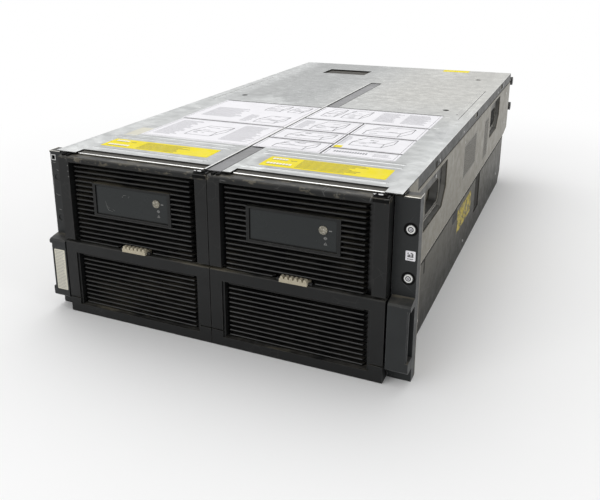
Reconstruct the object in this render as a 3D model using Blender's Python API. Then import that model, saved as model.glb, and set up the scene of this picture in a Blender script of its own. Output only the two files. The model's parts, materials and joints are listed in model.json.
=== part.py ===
"""Rack enclosure for upright disk drives, five rack units high, with two pull-out drawers side by side.

Metres, +Z up. Seen from the front, +X is to the right and +Y to the back. The origin is on the floor, in the
middle of the footprint. A depth is measured back from the front face of the bezels.
"""

import math

import bmesh
import bpy
from mathutils import Matrix, Vector

# Whole enclosure
HEIGHT = 0.219
CHASSIS_WIDTH = 0.448
EAR_REACH = 0.0173
UPPER_DEPTH = 0.870
REAR_STEP = 0.040
SEAM_SHARE = 0.45525
SHEET = 0.0012
GAP = 0.0003
OVERRUN = 0.002

# Sides: the lower wall belongs to the base, and the upper panel overlaps it from outside
WALL_OVERLAP = 0.012
PANEL_FRONT = 0.078
REAR_BEVEL = 0.022
BAND_HEIGHT = 0.017
JOGGLE = 0.002
LEDGE_RISE = 0.007
POCKET_DEPTH = 0.006
POCKET_DROP = 0.022
POCKET_HEIGHT = 0.059
FRONT_POCKET = (0.086, 0.241)
REAR_POCKET_SHARES = (0.7092, 0.8368)
POCKET_TAPER = 0.0025
POCKET_CHAMFER = 0.022
POCKET_FLANGE = 0.002
HAND_HOLE_RISE = 0.009
HAND_HOLE_DROP = 0.018
FRONT_HOLE_INSETS = (0.059, 0.022)
REAR_HOLE_INSETS = (0.017, 0.016)
HAND_HOLE_ROUND = 0.010
VENT_RECESS = 0.0004
LONG_VENT_SHARES = (0.423, 0.5448)
LONG_VENT_RISE = 0.0323
LONG_VENT_DROP = 0.013
SHORT_VENT_SHARES = (0.6368, 0.6897)
SHORT_VENT_RISE = 0.0133
SHORT_VENT_DROP = 0.014
SLIT = (0.1405, 0.1435)
SLIT_HEIGHT_SHARES = (0.752, 0.973)
WALL_VENT_SHARES = (0.6145, 0.6687)
WALL_VENT_HEIGHT_SHARES = (0.321, 0.953)

# Top cover
COVER_FRONT = 0.0105
LIP_NOTCH_BACK = 0.0275
# Where the lip of each drawer ends, from its bezel's left and right edges, by side
LIP_INSETS = {1: (0.0262, 0.0095), -1: (0.0205, 0.0095)}
TRENCH = (-0.006, 0.014)
BEAD_RISE = 0.0004
BEAD_WIDTH = 0.0024
BEAD_CREST_SHARE = 0.5
CROSS_BEAD_DEPTHS = (0.038, 0.100, 0.115)
CROSS_BEAD_INSET = 0.025
LONG_BEAD_INSET = 0.024
LONG_BEAD_SHARES = (0.483, 0.805)
COVER_HOLE_RADIUS = 0.005
# Holes in the cover: side, distance from that side's edge, and depth as a share of the cover's
COVER_HOLE_INSETS = ((-1, 0.050), (1, 0.046), (1, 0.048))
COVER_HOLE_SHARES = (0.508, 0.5126, 0.8724)
COVER_SLOT = (-0.138, -0.048)
COVER_SLOT_SHARES = (0.8425, 0.9046)
BAND_NOTCH_SHARES = ((0.5103, 0.5379), (0.8299, 0.8598))
BAND_NOTCH_LOW = 0.006

# Divider and bulkhead between the bays
CHASSIS_FRONT = 0.035
DIVIDER_SHEET = 0.0012
FLANGE_FRONT = 0.012
FLANGE_SINK = 0.001
FLANGE_MARGIN = 0.002
MODULE_ROOM = 0.220
BULKHEAD_MARGIN = 0.020
BULKHEAD_INSET = 0.0155

# Bezels of the drawers
BEZEL_INSET = 0.0105
DRAWER_SPACING = 0.001
BEZEL_DROP = 0.0040
BEZEL_DEPTH = 0.018
BEZEL_ROUND = 0.003
BEZEL_CHAMFER = 0.001
BORDER = 0.0155
TOP_BORDER = 0.0070
BOTTOM_BORDER = 0.0124
FOOT_HEIGHT = 0.0204
SPLIT_SHARE = 0.46694
UPPER_BORDER_RISE = 0.0036
UPPER_OPENING_DROP = 0.0034
CHEEK = 0.0025
CHEEK_FRONT = 0.002

# Louvred grilles
RIM_FRONT = 0.0135
RIM_BACK = 0.0175
RIM_WIDTH = 0.008
RIM_HEIGHT = 0.006
BLADE_HEIGHT = 0.0024
BLADE_TAIL = 0.015
TAIL_HEIGHT = 0.0016
TAIL_RISE = 0.0005
UPPER_NOSE = 0.005
LOWER_NOSE = 0.0065
END_LENGTH = 0.0025
END_RETREAT = 0.0035
UPPER_FIRST_BLADE_RISE = 0.0019
UPPER_PITCH = 0.0062
LOWER_FIRST_BLADE = 0.0142
TOP_BLADE_MARGIN = 0.0041
LOWER_PITCH = 0.00615
UPPER_BLADE_START = 0.0017
LOWER_BLADE_START = 0.0005
UPPER_BLADE_STOP = 0.0077
LOWER_BLADE_STOP = 0.004
# Points round a blade's nose, as shares of its height: how far behind the nose, and how high
NOSE_SHARES = ((0.5, -0.5), (0.2, -0.4), (0.02, -0.15), (0.02, 0.15), (0.2, 0.4), (0.5, 0.5))

# Pull handle, an inverted U hinged at its feet
HANDLE_DEPTH = 0.010
HANDLE_BAR = 0.0139
HANDLE_FOOT_GAP = 0.0008
HANDLE_CHAMFER = 0.001
HANDLE_BACK_CHAMFER = 0.0015
HINGE_DEPTH = 0.003
HINGE_RISE = 0.006
PIN_RADIUS = 0.0015
PIN_CLEARANCE = 0.0003
PIN_LENGTH = 0.010

# Release latch with its ribbed tab
TAB_PROUD = 0.002
TAB_CLEARANCE = 0.0005
TAB_THICKNESS = 0.0041
TAB_BACK = 0.0129
TAB_SHIFT = 0.00065
TAB_WIDTH = 0.0337
TAB_RIBS = 6
RIB_HEIGHT = 0.0032
RIB_BACK = 0.0035
RIB_BASE_SHARE = 0.8
RIB_CREST_SHARE = 0.4
LATCH_EAR = 0.0045
LATCH_EAR_HEIGHT = 0.0016
LATCH_EAR_DEPTH = (0.002, 0.004)
LATCH_PLAY = 0.0045
FOOT_DEPTH = 0.0023

# Display in the upper grille
DISPLAY_START = 0.0468
DISPLAY_END = 0.053
DISPLAY_HEIGHT = 0.0423
DISPLAY_DROP = 0.0315
DISPLAY_FRONT = 0.0045
DISPLAY_BACK = 0.0155
DISPLAY_FRAME = 0.004
DISPLAY_FRAME_HEIGHT = 0.0024
PANEL_RISE = 0.0116
WINDOW_FRONT = 0.006
WINDOW_BACK = 0.008
KEY_INSET = 0.0204
KEY_DROP = 0.0155
KEY_RADIUS = 0.005
KEY_FRONT = 0.0052
KEY_BACK = 0.011
KEY_BORE_BACK = 0.013

# Rack ears and their moulded covers
EAR_CLEARANCE = 0.001
EAR_FRONT = 0.0176
EAR_COVER_BACK = 0.032
EAR_FLANGE = 0.002
EAR_DROP = 0.0053
EAR_HOLE_RADIUS = 0.0035
EAR_HOLE_INSET = 0.0088
EAR_HOLE_SHARES = (0.2032, 0.4932, 0.8699)
GRIP_INNER = 0.0015
GRIP_WALL = 0.006
GRIP_LOW = 0.018
GRIP_DROP = 0.0014
GRIP_RISE = 0.003
GRIP_CHAMFER = 0.002
GRIP_PLATE = 0.0045
FINGER_RISE = 0.013
FINGER_DROP = 0.006
GRIP_EDGE = 0.0033
SMALL_BUTTON_INSET = 0.0087
SMALL_BUTTON_RADIUS = 0.0046
SMALL_BUTTON_BORE = 0.0050
SMALL_BUTTON_SHARES = (0.83762, 0.57745)
SMALL_BUTTON_PROUD = 0.0008
SMALL_BUTTON_LENGTH = 0.0062
SMALL_BORE_DEPTH = 0.008
EAR_WINDOW = 0.005
EAR_WINDOW_INSET = 0.005
EAR_WINDOW_DROP = 0.0081
EAR_MARK_DEPTH = 0.001

# Slide rails, nested channels that open towards the tray
RAIL_HEIGHT = 0.050
RAIL_MIDDLE = 0.075
RAIL_SHEET = 0.0012
RAIL_PLAY = 0.0004
RUN_CLEARANCE = 0.0007
RUNNER_DEPTH = 0.0062
FLANGE_CLEARANCE = 0.001
RAIL_FRONT = 0.040
RAIL_BACK_MARGIN = 0.010
RAIL_STAGGER = 0.040

# Drawer tray
TRAY_LOW = 0.005
TRAY_DROP = 0.049
TRAY_BACK_MARGIN = 0.010
FRONT_WALL_INSET = 0.001
FRONT_WALL_LOW = 0.003
LIP_DROP = 0.0022
LIP_FRONT = 0.0153
LIP_ROUND = 0.0009
WINDOW_MARGIN = 0.024
WINDOW_PITCH = 0.0235
WINDOW_BAR = 0.004
UPPER_WINDOW_INSET = 0.0096
LOWER_WINDOW_LOW = 0.018
LOWER_WINDOW_DROP = 0.0184
ROW_WALL_LOW = 0.030
ROW_WALL_DROP = 0.069

# Backplane with its drives
BOARD_LOW = 0.010
BOARD_SHEET = 0.002
BOARD_MARGIN = 0.001
BOARD_FRONT = 0.032
STANDOFF = 0.006
DRIVE_THICKNESS = 0.0261
DRIVE_WIDTH = 0.1016
DRIVE_HEADROOM = 0.032
DRIVE_PITCH = 0.0274
ROW_PITCH = 0.116
FIRST_ROW = 0.040
CARRIER_HEIGHT = 0.020
# Side outline of a drive in its carrier: share of its width, share of its carrier's height above the drive
CARRIER_SHARES = ((1.0, 0.0), (0.94, 0.45), (0.30, 1.0), (0.08, 1.0), (0.0, 0.55))

# Rear cage and the modules in it
SHELF_LOW = 0.0248
UPPER_SHELF_RISE = 0.0083
BAY_MARGIN = 0.0015
BAY_BAR = 0.002
BAY_DROP = 0.004
SUPPLY_DROP = 0.0017
SUPPLY_MARGIN = 0.015
IO_WIDTH = 0.100
IO_LENGTH = 0.135
FAN_LENGTH = 0.110

# Power supply face
INLET = (0.027, 0.020)
INLET_INSET = 0.012
INLET_RISE = 0.012
INLET_DEPTH = 0.009
SLOT_WIDTH = 0.004
SLOT_PITCH = 0.0075
SLOT_CLEARANCE = 0.008
SLOT_MARGIN = 0.012
SLOT_DEPTH = 0.006
PULL_TAB = (0.014, 0.003)
PULL_TAB_REACH = 0.012

# Input and output module face
PORT = (0.017, 0.0085)
PORT_DEPTH = 0.010
PORT_PITCH = 0.024
PORT_INSET = 0.010
PORT_ROWS = (0.012, 0.030)
PORT_COUNT = 3
LEVER_REACH = 0.054
LEVER_RADIUS = 0.0035
LEVER_RISE = 0.0325
LEVER_ARM = 0.005
LUG_SHEET = 0.003
KNOB_RADIUS = 0.0085
KNOB_WIDTH = 0.0105
KNOB_SHIFT = 0.002

# Fans
FAN_WALL = 0.00475
HUB_RADIUS = 0.018
STATOR_MARGIN = 0.037
STATOR_LENGTH = 0.033
STRUT = 0.006
ROTOR_LENGTH = 0.025
TIP_CLEARANCE = 0.0015
BLADE_COUNT = 7
BLADE_SHEET = 0.0018
ROOT_ANGLE = 52
TIP_ANGLE = 30
BLADE_REACH_SHARE = 0.42
BLADE_SINK = 0.002

# Sides of round pieces
KNOB_SIDES = 16
ROUND_SIDES = 24

# Places worked out from the sizes above
LOWER_DEPTH = UPPER_DEPTH - REAR_STEP
SEAM_HEIGHT = HEIGHT * SEAM_SHARE
POCKET_HIGH = HEIGHT - POCKET_DROP
POCKET_LOW = POCKET_HIGH - POCKET_HEIGHT
BULKHEAD_DEPTH = UPPER_DEPTH - MODULE_ROOM
REAR_POCKET = tuple(UPPER_DEPTH * share for share in REAR_POCKET_SHARES)
TRENCH_BACK = BULKHEAD_DEPTH - FLANGE_MARGIN
TRAY_BACK = BULKHEAD_DEPTH - TRAY_BACK_MARGIN
OUTER_RAIL_LENGTH = BULKHEAD_DEPTH - RAIL_BACK_MARGIN - RAIL_FRONT
SLIDING_RAIL_LENGTH = OUTER_RAIL_LENGTH - RAIL_STAGGER
BEZEL_HEIGHT = HEIGHT - BEZEL_DROP
HANDLE_TOP = BEZEL_HEIGHT * SPLIT_SHARE
UPPER_BORDER_LOW = HANDLE_TOP + UPPER_BORDER_RISE
UPPER_OPENING_LOW = HANDLE_TOP - UPPER_OPENING_DROP
TAB_LOW = HANDLE_TOP + TAB_CLEARANCE
TAB_HIGH = TAB_LOW + TAB_THICKNESS
DISPLAY_HIGH = BEZEL_HEIGHT - DISPLAY_DROP
DISPLAY_LOW = DISPLAY_HIGH - DISPLAY_HEIGHT
PANEL_LOW = HANDLE_TOP + PANEL_RISE
KEY_HEIGHT = DISPLAY_HIGH - KEY_DROP
EAR_HEIGHT = HEIGHT - EAR_DROP
GRIP_HIGH = HANDLE_TOP - GRIP_DROP
FINGER_LOW = GRIP_LOW + FINGER_RISE
FINGER_HIGH = GRIP_HIGH - FINGER_DROP
TRAY_HIGH = HEIGHT - TRAY_DROP
UPPER_SHELF_LOW = SEAM_HEIGHT + UPPER_SHELF_RISE
SUPPLY_HIGH = SEAM_HEIGHT - SUPPLY_DROP
BAY_HIGH = HEIGHT - BAY_DROP
FRONT = TAB_PROUD - (TAB_PROUD + UPPER_DEPTH + LEVER_REACH) / 2
PANEL_OUT = CHASSIS_WIDTH / 2
PANEL_IN = PANEL_OUT - SHEET
BASE_OUT = PANEL_IN - GAP
BASE_IN = BASE_OUT - SHEET
COVER_TOP = HEIGHT - BEAD_RISE
COVER_LOW = COVER_TOP - SHEET
WALL_TOP = COVER_LOW - GAP
BEZEL_WIDTH = PANEL_OUT - BEZEL_INSET - DRAWER_SPACING / 2
EAR_INNER = PANEL_OUT - BEZEL_INSET + EAR_CLEARANCE
EAR_OUTER = PANEL_OUT + EAR_REACH
MIDDLE_RAIL_BACK = EAR_INNER - RUN_CLEARANCE
DIVIDER_FACE = DIVIDER_SHEET / 2
INNER_RAIL_BACK = DIVIDER_FACE + GAP + RAIL_SHEET + RAIL_PLAY
TRAY_OUTER = MIDDLE_RAIL_BACK - RAIL_SHEET - RAIL_PLAY - RUNNER_DEPTH
TRAY_INNER = INNER_RAIL_BACK + RAIL_SHEET + RAIL_PLAY + RUNNER_DEPTH
HINGE_HEIGHT = FOOT_HEIGHT + HANDLE_FOOT_GAP + HINGE_RISE
TAB_START = BEZEL_WIDTH / 2 + TAB_SHIFT - TAB_WIDTH / 2
KEY_X = BEZEL_WIDTH - DISPLAY_END - KEY_INSET
BOARD_HIGH = BOARD_LOW + BOARD_SHEET
BAY_HALF = BASE_IN - BAY_MARGIN
LOWER_BEVEL_DEPTH = LOWER_DEPTH - REAR_BEVEL


def span(middle, size):
    """The two ends of a size about its middle."""
    return middle - size / 2, middle + size / 2


def along(shares, size):
    """Shares of a size as lengths."""
    return tuple(size * share for share in shares)


def sided(side, ends):
    """The two ends mirrored to the given side, lower one first."""
    return tuple(sorted(side * end for end in ends))


def paint(name, colour, roughness, metallic):
    """A plain surface."""
    made = bpy.data.materials.new(name)
    made.use_nodes = True
    shader = made.node_tree.nodes["Principled BSDF"]
    shader.inputs["Base Color"].default_value = (*colour, 1)
    shader.inputs["Roughness"].default_value = roughness
    shader.inputs["Metallic"].default_value = metallic
    return made


def prisms(axis, outline, ranges, bm=None):
    """Closed prisms of one outline: depth and height for X, x and height for Y, x and depth for Z."""
    bm = bm or bmesh.new()
    for low, high in ranges:
        rings = []
        for along in (low, high):
            ring = []
            for a, b in outline:
                x, depth, z = {"X": (along, a, b), "Y": (a, along, b), "Z": (a, b, along)}[axis]
                ring.append(bm.verts.new((x, FRONT + depth, z)))
            rings.append(ring)
        skin(bm, rings)
    return bm


def skin(bm, rings):
    """Joins a row of rings of points into one closed body."""
    faces = [bm.faces.new(rings[0]), bm.faces.new(rings[-1])]
    for first, second in zip(rings, rings[1:]):
        for i in range(len(first)):
            j = (i + 1) % len(first)
            faces.append(bm.faces.new((first[i], first[j], second[j], second[i])))
    bmesh.ops.recalc_face_normals(bm, faces=faces)


def blocks(*boxes, bm=None):
    """Closed boxes, each given by its ends along x, depth and height."""
    bm = bm or bmesh.new()
    for (x0, x1), depths, (z0, z1) in boxes:
        prisms("Y", ((x0, z0), (x1, z0), (x1, z1), (x0, z1)), (depths,), bm)
    return bm


def arc(centre, radius, start, end, steps):
    """Points of a round stretch between two angles in degrees."""
    points = []
    for i in range(steps + 1):
        angle = math.radians(start + (end - start) * i / steps)
        points.append((centre[0] + radius * math.cos(angle), centre[1] + radius * math.sin(angle)))
    return points


def rounds(axis, centres, radius, ends, sides=ROUND_SIDES, bm=None):
    """Closed cylinders of one radius."""
    bm = bm or bmesh.new()
    for centre in centres:
        prisms(axis, arc(centre, radius, 0, 360 - 360 / sides, sides - 1), (ends,), bm)
    return bm


def rounded(a, b, radius, steps=3):
    """A rectangle with round corners."""
    points = []
    for i, (x, y) in enumerate(((a[1], b[1]), (a[0], b[1]), (a[0], b[0]), (a[1], b[0]))):
        centre = (x - math.copysign(radius, x - sum(a) / 2), y - math.copysign(radius, y - sum(b) / 2))
        points += arc(centre, radius, 90 * i, 90 * i + 90, steps)
    return points


def raw(name, bm, pivot=None):
    """An object from a finished mesh. A piece with a pivot has its origin there."""
    mesh = bpy.data.meshes.new(name)
    bm.to_mesh(mesh)
    bm.free()
    mesh.shade_smooth()
    mesh.set_sharp_from_angle(angle=math.radians(32))
    made = bpy.data.objects.new(name, mesh)
    bpy.context.scene.collection.objects.link(made)
    if pivot:
        mesh.transform(Matrix.Translation(-pivot["place"]))
        made.parent = pivot["empty"]
    return made


def piece(name, surface, base, *steps, pivot=None):
    """One sub-part: its base shape, then each step joins a shape to it or cuts one from it."""
    made = raw(name, base, pivot)
    made.data.materials.append(surface)
    for i, (operation, bm) in enumerate(steps):
        tool = raw(f"{name}_tool_{i}", bm)
        tool.hide_render = True
        tool.display_type = "WIRE"
        modifier = made.modifiers.new(operation.title(), "BOOLEAN")
        modifier.operation = operation
        modifier.object = tool
        modifier.solver = "EXACT"
    return made


def cut(bm):
    """A step that takes a shape away."""
    return "DIFFERENCE", bm


def join(bm):
    """A step that adds a shape."""
    return "UNION", bm


def pivot_at(name, x, depth, height, parent=None):
    """An empty on a joint's axis, for the pieces that move about it."""
    empty = bpy.data.objects.new(name, None)
    bpy.context.scene.collection.objects.link(empty)
    place = Vector((x, FRONT + depth, height))
    empty.location = place - parent["place"] if parent else place
    empty.parent = parent["empty"] if parent else None
    return {"empty": empty, "place": place}


def chassis_base():
    """Bottom sheet and lower side walls, folded from one sheet, bevelled at the rear."""
    profile = (
        (CHASSIS_FRONT, 0),
        (LOWER_BEVEL_DEPTH, 0),
        (LOWER_DEPTH, REAR_BEVEL),
        (LOWER_DEPTH, SEAM_HEIGHT + WALL_OVERLAP),
        (CHASSIS_FRONT, SEAM_HEIGHT + WALL_OVERLAP),
    )
    hollow = (
        (CHASSIS_FRONT - OVERRUN, SHEET),
        (LOWER_BEVEL_DEPTH - SHEET / 2, SHEET),
        (LOWER_DEPTH + OVERRUN, REAR_BEVEL + SHEET * 3 / 2 + OVERRUN),
        (LOWER_DEPTH + OVERRUN, HEIGHT),
        (CHASSIS_FRONT - OVERRUN, HEIGHT),
    )
    across = (-BASE_OUT - OVERRUN, BASE_OUT + OVERRUN)
    slit = (across, SLIT, along(SLIT_HEIGHT_SHARES, SEAM_HEIGHT))
    vent = (across, along(WALL_VENT_SHARES, LOWER_DEPTH), along(WALL_VENT_HEIGHT_SHARES, SEAM_HEIGHT))
    piece(
        "chassis_base",
        zinc,
        prisms("X", profile, ((-BASE_OUT, BASE_OUT),)),
        cut(prisms("X", hollow, ((-BASE_IN, BASE_IN),))),
        cut(blocks(slit, vent)),
    )


def pocket_outline(ends, grow=0):
    """Side outline of a stamped pocket, with its rear lower corner cut off."""
    front, back = ends[0] - grow, ends[1] + grow
    low, high = POCKET_LOW - grow, POCKET_HIGH + grow
    return (
        (front, low),
        (back - POCKET_CHAMFER, low),
        (back, low + POCKET_CHAMFER),
        (back, high),
        (front, high),
    )


def tapered_pocket(side, ends, outside, inside, shell):
    """A pocket's body, narrower at its floor, as stamping leaves it."""
    bm = bmesh.new()
    rings = []
    for x, grow in ((outside, shell), (inside, shell - POCKET_TAPER)):
        outline = pocket_outline(ends, grow)
        rings.append([bm.verts.new((side * x, FRONT + depth, z)) for depth, z in outline])
    skin(bm, rings)
    return bm


def side_panel(name, side):
    """Upper side panel, stepped in at the top under the cover's band, open at the hand pockets."""
    step = SHEET + GAP
    band = HEIGHT - BAND_HEIGHT - GAP
    profile = (
        (PANEL_OUT, SEAM_HEIGHT),
        (PANEL_OUT, band - JOGGLE),
        (PANEL_OUT - step, band),
        (PANEL_OUT - step, WALL_TOP),
        (PANEL_IN - step, WALL_TOP),
        (PANEL_IN - step, band),
        (PANEL_IN, band - JOGGLE),
        (PANEL_IN, SEAM_HEIGHT),
    )
    ledge = (
        (LOWER_DEPTH, SEAM_HEIGHT - OVERRUN),
        (LOWER_DEPTH, SEAM_HEIGHT),
        (UPPER_DEPTH, SEAM_HEIGHT + LEDGE_RISE),
        (UPPER_DEPTH + OVERRUN, SEAM_HEIGHT + LEDGE_RISE),
        (UPPER_DEPTH + OVERRUN, SEAM_HEIGHT - OVERRUN),
    )
    through = sided(side, (PANEL_IN - JOGGLE - OVERRUN, PANEL_OUT + OVERRUN))
    skin_deep = sided(side, (PANEL_OUT - VENT_RECESS, PANEL_OUT + OVERRUN))
    pockets = [cut(prisms("X", pocket_outline(ends), (through,))) for ends in (FRONT_POCKET, REAR_POCKET)]
    long_heights = (SEAM_HEIGHT + LONG_VENT_RISE, POCKET_HIGH - LONG_VENT_DROP)
    short_heights = (SEAM_HEIGHT + SHORT_VENT_RISE, POCKET_HIGH - SHORT_VENT_DROP)
    vents = (
        (skin_deep, along(LONG_VENT_SHARES, UPPER_DEPTH), long_heights),
        (skin_deep, along(SHORT_VENT_SHARES, UPPER_DEPTH), short_heights),
    )
    piece(
        name,
        zinc,
        prisms("Y", [(side * x, z) for x, z in profile], ((PANEL_FRONT + GAP, UPPER_DEPTH),)),
        cut(prisms("X", ledge, (through,))),
        *pockets,
        cut(blocks(*vents)),
    )


def hand_pocket(name, side, ends, insets):
    """Stamped pocket behind an opening of the side panel, with a hand hole through its floor."""
    rim = PANEL_IN - GAP
    through = sided(side, (PANEL_IN - POCKET_DEPTH - OVERRUN, PANEL_OUT + OVERRUN))
    floor = PANEL_OUT - POCKET_DEPTH
    hole = (ends[0] + insets[0], ends[1] - insets[1])
    heights = (POCKET_LOW + HAND_HOLE_RISE, POCKET_HIGH - HAND_HOLE_DROP)
    piece(
        name,
        zinc,
        prisms("X", pocket_outline(ends, POCKET_FLANGE), (sided(side, (rim - SHEET, rim)),)),
        join(tapered_pocket(side, ends, rim - SHEET / 2, floor - SHEET, SHEET)),
        cut(tapered_pocket(side, ends, PANEL_OUT + OVERRUN, floor, 0)),
        cut(prisms("X", rounded(hole, heights, HAND_HOLE_ROUND), (through,))),
    )


def top_cover():
    """Flat cover with folded side bands, split at the front by the trench over the divider."""
    full = (-PANEL_OUT, PANEL_OUT)
    inside = (-PANEL_IN, PANEL_IN)
    band_low = HEIGHT - BAND_HEIGHT
    above = HEIGHT + OVERRUN
    low = COVER_LOW - OVERRUN
    front = COVER_FRONT - OVERRUN
    notches = []
    for side in (1, -1):
        ends = lip_ends(side)
        wide = (ends[0] - EAR_CLEARANCE, ends[1] + EAR_CLEARANCE)
        notches.append((wide, (front, LIP_NOTCH_BACK), (low, above)))
    beads = bmesh.new()
    for side in (1, -1):
        ends = sided(side, (CROSS_BEAD_INSET, PANEL_OUT - CROSS_BEAD_INSET))
        for depth in CROSS_BEAD_DEPTHS:
            prisms("X", bead_outline(depth), (ends,), beads)
        edge = side * (PANEL_OUT - LONG_BEAD_INSET)
        prisms("Y", bead_outline(edge), (along(LONG_BEAD_SHARES, UPPER_DEPTH),), beads)
    holes = []
    for (side, inset), share in zip(COVER_HOLE_INSETS, COVER_HOLE_SHARES):
        holes.append((side * (PANEL_OUT - inset), share * UPPER_DEPTH))
    outer = (-PANEL_OUT - OVERRUN, PANEL_OUT + OVERRUN)
    gaps = []
    for shares in BAND_NOTCH_SHARES:
        gaps.append((outer, along(shares, UPPER_DEPTH), (band_low + BAND_NOTCH_LOW, COVER_LOW - SHEET)))
    slot = (COVER_SLOT, along(COVER_SLOT_SHARES, UPPER_DEPTH), (low, above))
    piece(
        "top_cover",
        lid_metal,
        blocks((full, (COVER_FRONT, UPPER_DEPTH), (band_low, COVER_TOP))),
        cut(blocks((inside, (front, UPPER_DEPTH + OVERRUN), (band_low - OVERRUN, COVER_LOW)))),
        cut(blocks((outer, (front, PANEL_FRONT), (band_low - OVERRUN, COVER_LOW)))),
        cut(blocks((TRENCH, (front, TRENCH_BACK), (low, above)), *notches)),
        join(beads),
        cut(blocks(slot, *gaps)),
        cut(rounds("Z", holes, COVER_HOLE_RADIUS, (low, above), KNOB_SIDES)),
    )


def bead_outline(middle):
    """Cross-section of a pressed bead on the cover."""
    base = BEAD_WIDTH / 2
    crest = base * BEAD_CREST_SHARE
    sunk = COVER_TOP - SHEET / 2
    return (
        (middle - base, sunk),
        (middle + base, sunk),
        (middle + base, COVER_TOP),
        (middle + crest, HEIGHT),
        (middle - crest, HEIGHT),
        (middle - base, COVER_TOP),
    )


def divider_and_bulkhead():
    """Wall between the drawers with a flange in the cover's trench, and the windowed wall behind them."""
    flange = (COVER_TOP - FLANGE_SINK - SHEET, COVER_TOP - FLANGE_SINK)
    flange_ends = (TRENCH[0] + GAP, TRENCH[1] - GAP)
    profile = (
        (-DIVIDER_FACE, SHEET + GAP),
        (DIVIDER_FACE, SHEET + GAP),
        (DIVIDER_FACE, sum(flange) / 2),
        (-DIVIDER_FACE, sum(flange) / 2),
    )
    depths = (BULKHEAD_DEPTH, BULKHEAD_DEPTH + SHEET)
    through = (BULKHEAD_DEPTH - OVERRUN, BULKHEAD_DEPTH + SHEET + OVERRUN)
    heights = (UPPER_SHELF_LOW + BULKHEAD_MARGIN, WALL_TOP - BULKHEAD_MARGIN)
    reach = BASE_IN - BULKHEAD_INSET
    windows = [sided(side, (BULKHEAD_MARGIN, reach - BULKHEAD_MARGIN)) for side in (1, -1)]
    piece(
        "divider_and_bulkhead",
        zinc,
        blocks(((-reach, reach), depths, (SHEET + GAP, WALL_TOP))),
        cut(blocks(*[(ends, through, heights) for ends in windows])),
        join(prisms("Y", profile, ((CHASSIS_FRONT, BULKHEAD_DEPTH + SHEET / 2),))),
        join(blocks((flange_ends, (FLANGE_FRONT, TRENCH_BACK - GAP), flange))),
    )


def rack_ear(name, side):
    """Steel angle: a leg against the chassis side, and the flange that bolts to the rack."""
    flange_front = EAR_COVER_BACK + GAP
    flange_back = flange_front + EAR_FLANGE
    profile = (
        (PANEL_IN, PANEL_FRONT),
        (PANEL_OUT, PANEL_FRONT),
        (PANEL_OUT, flange_back),
        (EAR_OUTER, flange_back),
        (EAR_OUTER, flange_front),
        (PANEL_IN, flange_front),
    )
    beyond = sided(side, (PANEL_OUT, EAR_OUTER + OVERRUN))
    holes = [(side * (EAR_OUTER - EAR_HOLE_INSET), z) for z in along(EAR_HOLE_SHARES, HEIGHT)]
    piece(
        name,
        zinc,
        prisms("Z", [(side * x, depth) for x, depth in profile], ((0, WALL_TOP),)),
        cut(blocks((beyond, (flange_front - OVERRUN, flange_back + OVERRUN), (EAR_HEIGHT, HEIGHT)))),
        cut(rounds("Y", holes, EAR_HOLE_RADIUS, (flange_front - OVERRUN, flange_back + OVERRUN), KNOB_SIDES)),
    )


def ear_cover(name, side):
    """Moulded cover of an ear, with a grab handle whose finger gap opens to the outer side."""
    inner = EAR_INNER + GRIP_INNER
    plate_edge = EAR_OUTER - GRIP_EDGE
    grip = (
        (EAR_FRONT + OVERRUN, GRIP_LOW),
        (GRIP_CHAMFER, GRIP_LOW),
        (0, GRIP_LOW + GRIP_CHAMFER),
        (0, GRIP_HIGH - GRIP_CHAMFER),
        (GRIP_CHAMFER, GRIP_HIGH),
        (EAR_FRONT, GRIP_HIGH + GRIP_RISE),
        (EAR_FRONT + OVERRUN, GRIP_HIGH + GRIP_RISE),
    )
    finger = (
        (GRIP_PLATE, FINGER_LOW + GRIP_CHAMFER),
        (GRIP_PLATE + GRIP_CHAMFER, FINGER_LOW),
        (EAR_FRONT, FINGER_LOW),
        (EAR_FRONT, FINGER_HIGH),
        (GRIP_PLATE + GRIP_CHAMFER, FINGER_HIGH),
        (GRIP_PLATE, FINGER_HIGH - GRIP_CHAMFER),
    )
    edge = (
        (plate_edge, -OVERRUN),
        (plate_edge, GRIP_CHAMFER / 2),
        (plate_edge + GRIP_CHAMFER / 2, GRIP_CHAMFER),
        (plate_edge + GRIP_CHAMFER / 2, GRIP_PLATE + OVERRUN),
        (EAR_OUTER + OVERRUN, GRIP_PLATE + OVERRUN),
        (EAR_OUTER + OVERRUN, -OVERRUN),
    )
    button_x = side * (EAR_OUTER - SMALL_BUTTON_INSET)
    centres = [(button_x, z) for z in along(SMALL_BUTTON_SHARES, EAR_HEIGHT)]
    bore_depth = SMALL_BORE_DEPTH if side > 0 else EAR_MARK_DEPTH
    bores = rounds("Y", centres, SMALL_BUTTON_BORE, (EAR_FRONT - OVERRUN, EAR_FRONT + bore_depth))
    details = [cut(bores)]
    if side < 0:
        window_x = side * (EAR_OUTER - EAR_WINDOW_INSET)
        through = (EAR_FRONT - OVERRUN, EAR_COVER_BACK + OVERRUN)
        window = (span(window_x, EAR_WINDOW), through, span(EAR_HEIGHT - EAR_WINDOW_DROP, EAR_WINDOW))
        details.append(cut(blocks(window)))
    piece(
        name,
        ear_plastic,
        blocks((sided(side, (EAR_INNER, EAR_OUTER)), (EAR_FRONT, EAR_COVER_BACK), (0, EAR_HEIGHT))),
        join(prisms("X", grip, (sided(side, (inner, EAR_OUTER)),))),
        cut(prisms("X", finger, (sided(side, (inner + GRIP_WALL, EAR_OUTER + OVERRUN)),))),
        cut(prisms("Z", [(side * x, depth) for x, depth in edge], ((FINGER_LOW, FINGER_HIGH),))),
        *details,
    )


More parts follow.
